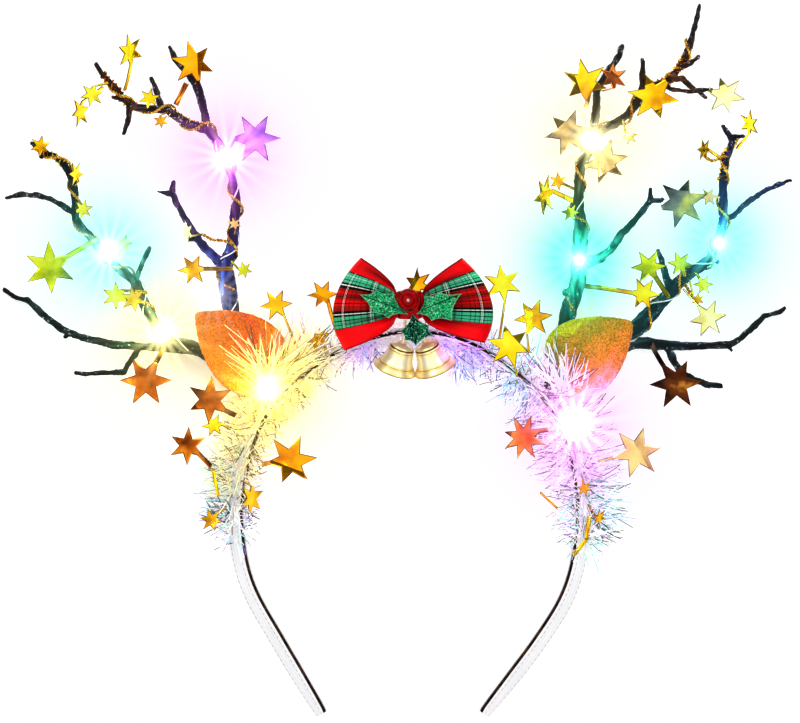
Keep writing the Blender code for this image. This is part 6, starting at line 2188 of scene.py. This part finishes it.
@dataclass
class Studio:
    """The pale floor, the soft studio light and the camera of the photograph."""

    frame_px: Row = (800.0, 723.0)
    mm_per_px: float = 0.385
    centre: Row = (1.0, -0.2, 12.0)
    distance: float = 3.0
    sensor: float = 36.0
    floor_size: float = 4.0
    floor_z: float = -0.35
    floor_tone: Colour = (0.90, 0.90, 0.905)
    floor_lift: float = 0.36
    led_radius: float = 2.5
    led_rise: float = 3.0
    ray_count: int = 16
    ray_fade: float = 0.93
    ray_turn: float = 7.0
    # Softboxes: place in metres, size in metres, power in watts
    boxes: tuple[tuple[Row, float, float], ...] = (
        ((-0.75, 0.85, 1.15), 0.5, 4.5), ((0.95, 0.35, 1.2), 0.4, 2.5), ((0.15, -1.1, 1.3), 0.5, 2.5),
    )
    led_power: float = 0.030
    # The studio's tones from the horizon, at 0, to straight above, at 1
    room_tones: tuple[tuple[float, Colour], ...] = (
        (0.0, (0.10, 0.09, 0.08)), (0.28, (0.15, 0.13, 0.12)), (0.50, (0.48, 0.46, 0.44)),
        (0.70, (0.92, 0.92, 0.92)), (0.86, (1.04, 1.04, 1.05)), (1.0, (1.0, 1.0, 1.0)),
    )
    room_strength: float = 1.12
    panel_scale: float = 1.7
    panel_share: float = 0.5
    bloom_from: float = 14.0
    halo_reach: float = 0.125
    halo_tint: float = 2.6
    halo_most: float = 0.72
    halo_light: float = 0.42
    core_reach: float = 0.030
    core_light: float = 0.10
    ray_light: float = 0.15
    gamma: float = 0.85

    def camera(self) -> None:
        """Places the camera straight above, so that a pixel is the same size all over the object."""
        data = bpy.data.cameras.new("camera")
        data.sensor_width = self.sensor
        view_width = self.frame_px[0] * self.mm_per_px * MM
        data.lens = self.sensor * self.distance / view_width
        data.clip_end = 20.0
        camera = placed("camera", data)
        camera.location = vector(self.centre) * MM + UP * self.distance
        bpy.context.scene.camera = camera

    def floor(self) -> None:
        """Lays the floor."""
        builder = bmesh.new()
        bmesh.ops.create_grid(builder, x_segments=1, y_segments=1, size=self.floor_size / 2)
        bmesh.ops.translate(builder, verts=builder.verts, vec=(0.0, 0.0, self.floor_z * MM))
        floor = placed("floor", mesh_from(builder, outward=False))
        material = bpy.data.materials.new("floor_paper")
        material.use_nodes = True
        NodeSheet(material.node_tree).fill(material.node_tree.nodes["Principled BSDF"], {
            "Base Color": self.floor_tone, "Roughness": 0.9, "Specular IOR Level": 0.1,
            "Emission Color": self.floor_tone, "Emission Strength": self.floor_lift,
        })
        floor.data.materials.append(material)

    def lights(self) -> None:
        """Hangs the softboxes, and gives each bulb its small light."""
        for index, (place, size, power) in enumerate(self.boxes):
            data = bpy.data.lights.new(f"softbox_{index + 1}", "AREA")
            data.size = size
            data.energy = power
            box = placed(data.name, data)
            box.location = place
            box.rotation_euler = (-Vector(place)).to_track_quat("-Z", "Y").to_euler()
        for led in LEDS:
            data = bpy.data.lights.new(f"light_{led.name}", "POINT")
            data.color = led.colour
            data.energy = self.led_power * led.power
            data.shadow_soft_size = self.led_radius * MM
            light = placed(data.name, data)
            light.location = (vector(led.place) + UP * self.led_rise) * MM
            light.visible_glossy = False

    def surroundings(self) -> None:
        """A studio that is bright above and darker low down, which the foil and the gilt reflect."""
        world = bpy.data.worlds.new("room")
        world.use_nodes = True
        sheet = NodeSheet(world.node_tree)
        direction = sheet.add("ShaderNodeTexCoord").outputs["Generated"]
        way = sheet.add("ShaderNodeSeparateXYZ", {0: direction})
        panels = sheet.add("ShaderNodeTexNoise", {
            "Vector": direction, "Scale": self.panel_scale, "Detail": 1.0,
        })
        drift = sheet.math("MULTIPLY", sheet.math("SUBTRACT", panels.outputs["Fac"], 0.5), self.panel_share)
        tone = sheet.ramp(sheet.math("ADD", way.outputs["Z"], drift, clamp=True), self.room_tones)
        background = world.node_tree.nodes["Background"]
        sheet.fill(background, {"Color": tone, "Strength": self.room_strength})
        bpy.context.scene.world = world

    def spread(self, sheet: NodeSheet, picture: Socket, reach: float) -> Socket:
        """A picture blurred by a share of its width.

        Args:
            sheet: the compositor's sheet.
            picture: the picture's socket.
            reach: the blur's reach as a share of the picture's width.

        Returns:
            The blurred picture's socket.
        """
        size = sheet.add("CompositorNodeRelativeToPixel", {0: (reach, reach), "Image": picture},
                         data_type="VECTOR", reference_dimension="X")
        blur = sheet.add("CompositorNodeBlur", {"Image": picture, "Size": size.outputs[1]},
                         filter_type="GAUSS")
        return blur.outputs[0]

    def glow(self) -> None:
        """Lets each lit bulb bloom: its colour tints what is round it, and its middle turns white."""
        scene = bpy.context.scene
        scene.use_nodes = True
        scene.node_tree.nodes.clear()
        sheet = NodeSheet(scene.node_tree)
        picture = sheet.add("CompositorNodeRLayers").outputs["Image"]
        rays = sheet.add("CompositorNodeGlare", {
            "Image": picture, "Threshold": self.bloom_from, "Strength": 1.0, "Streaks": self.ray_count,
            "Iterations": 4, "Fade": self.ray_fade, "Color Modulation": 0.0,
            "Streaks Angle": radians(self.ray_turn),
        }, glare_type="STREAKS", quality="HIGH")
        hot = rays.outputs["Highlights"]
        halo = self.spread(sheet, hot, self.halo_reach)
        parts = sheet.add("CompositorNodeSeparateColor", {0: halo})
        red, green, blue = (parts.outputs[index] for index in range(3))
        most = sheet.math("MAXIMUM", red, sheet.math("MAXIMUM", green, blue))
        kept = []
        for part in (red, green, blue):
            lack = sheet.math("MULTIPLY", sheet.math("SUBTRACT", most, part), self.halo_tint)
            kept.append(sheet.math("SUBTRACT", 1.0, sheet.math("MINIMUM", lack, self.halo_most)))
        tint = sheet.add("CompositorNodeCombineColor", dict(enumerate(kept)))
        steps = (
            ("DARKEN", 1.0, (1.0, 1.0, 1.0)), ("MULTIPLY", 1.0, tint.outputs[0]),
            ("ADD", self.halo_light, halo),
            ("ADD", self.core_light, self.spread(sheet, hot, self.core_reach)),
            ("ADD", self.ray_light, rays.outputs["Glare"]),
        )
        for blend, share, layer in steps:
            mixed = sheet.add("CompositorNodeMixRGB", {0: share, 1: picture, 2: layer}, blend_type=blend)
            picture = mixed.outputs[0]
        sheet.add("CompositorNodeComposite", {0: picture})

    def build(self) -> None:
        """Sets the stage, the light, the camera and the picture's tone."""
        self.camera()
        self.floor()
        self.lights()
        self.surroundings()
        self.glow()
        bpy.context.scene.view_settings.view_transform = "Standard"
        bpy.context.scene.view_settings.look = "None"
        bpy.context.scene.view_settings.exposure = 0.0
        bpy.context.scene.view_settings.gamma = self.gamma


def main() -> None:
    """Loads the frame and makes the headband round it, piece by piece."""
    logging.basicConfig(level=logging.INFO, format="%(message)s")
    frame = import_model()
    Studio().build()
    Hoop().build()
    Antlers(frame).build()
    Ears(frame).build()
    Tinsel().build()
    Bow(frame).build()
    Holly().build()
    Bells().build()
    Stars().build()
    Garlands().build()
    Lights().build()


if __name__ == "__main__":
    main()
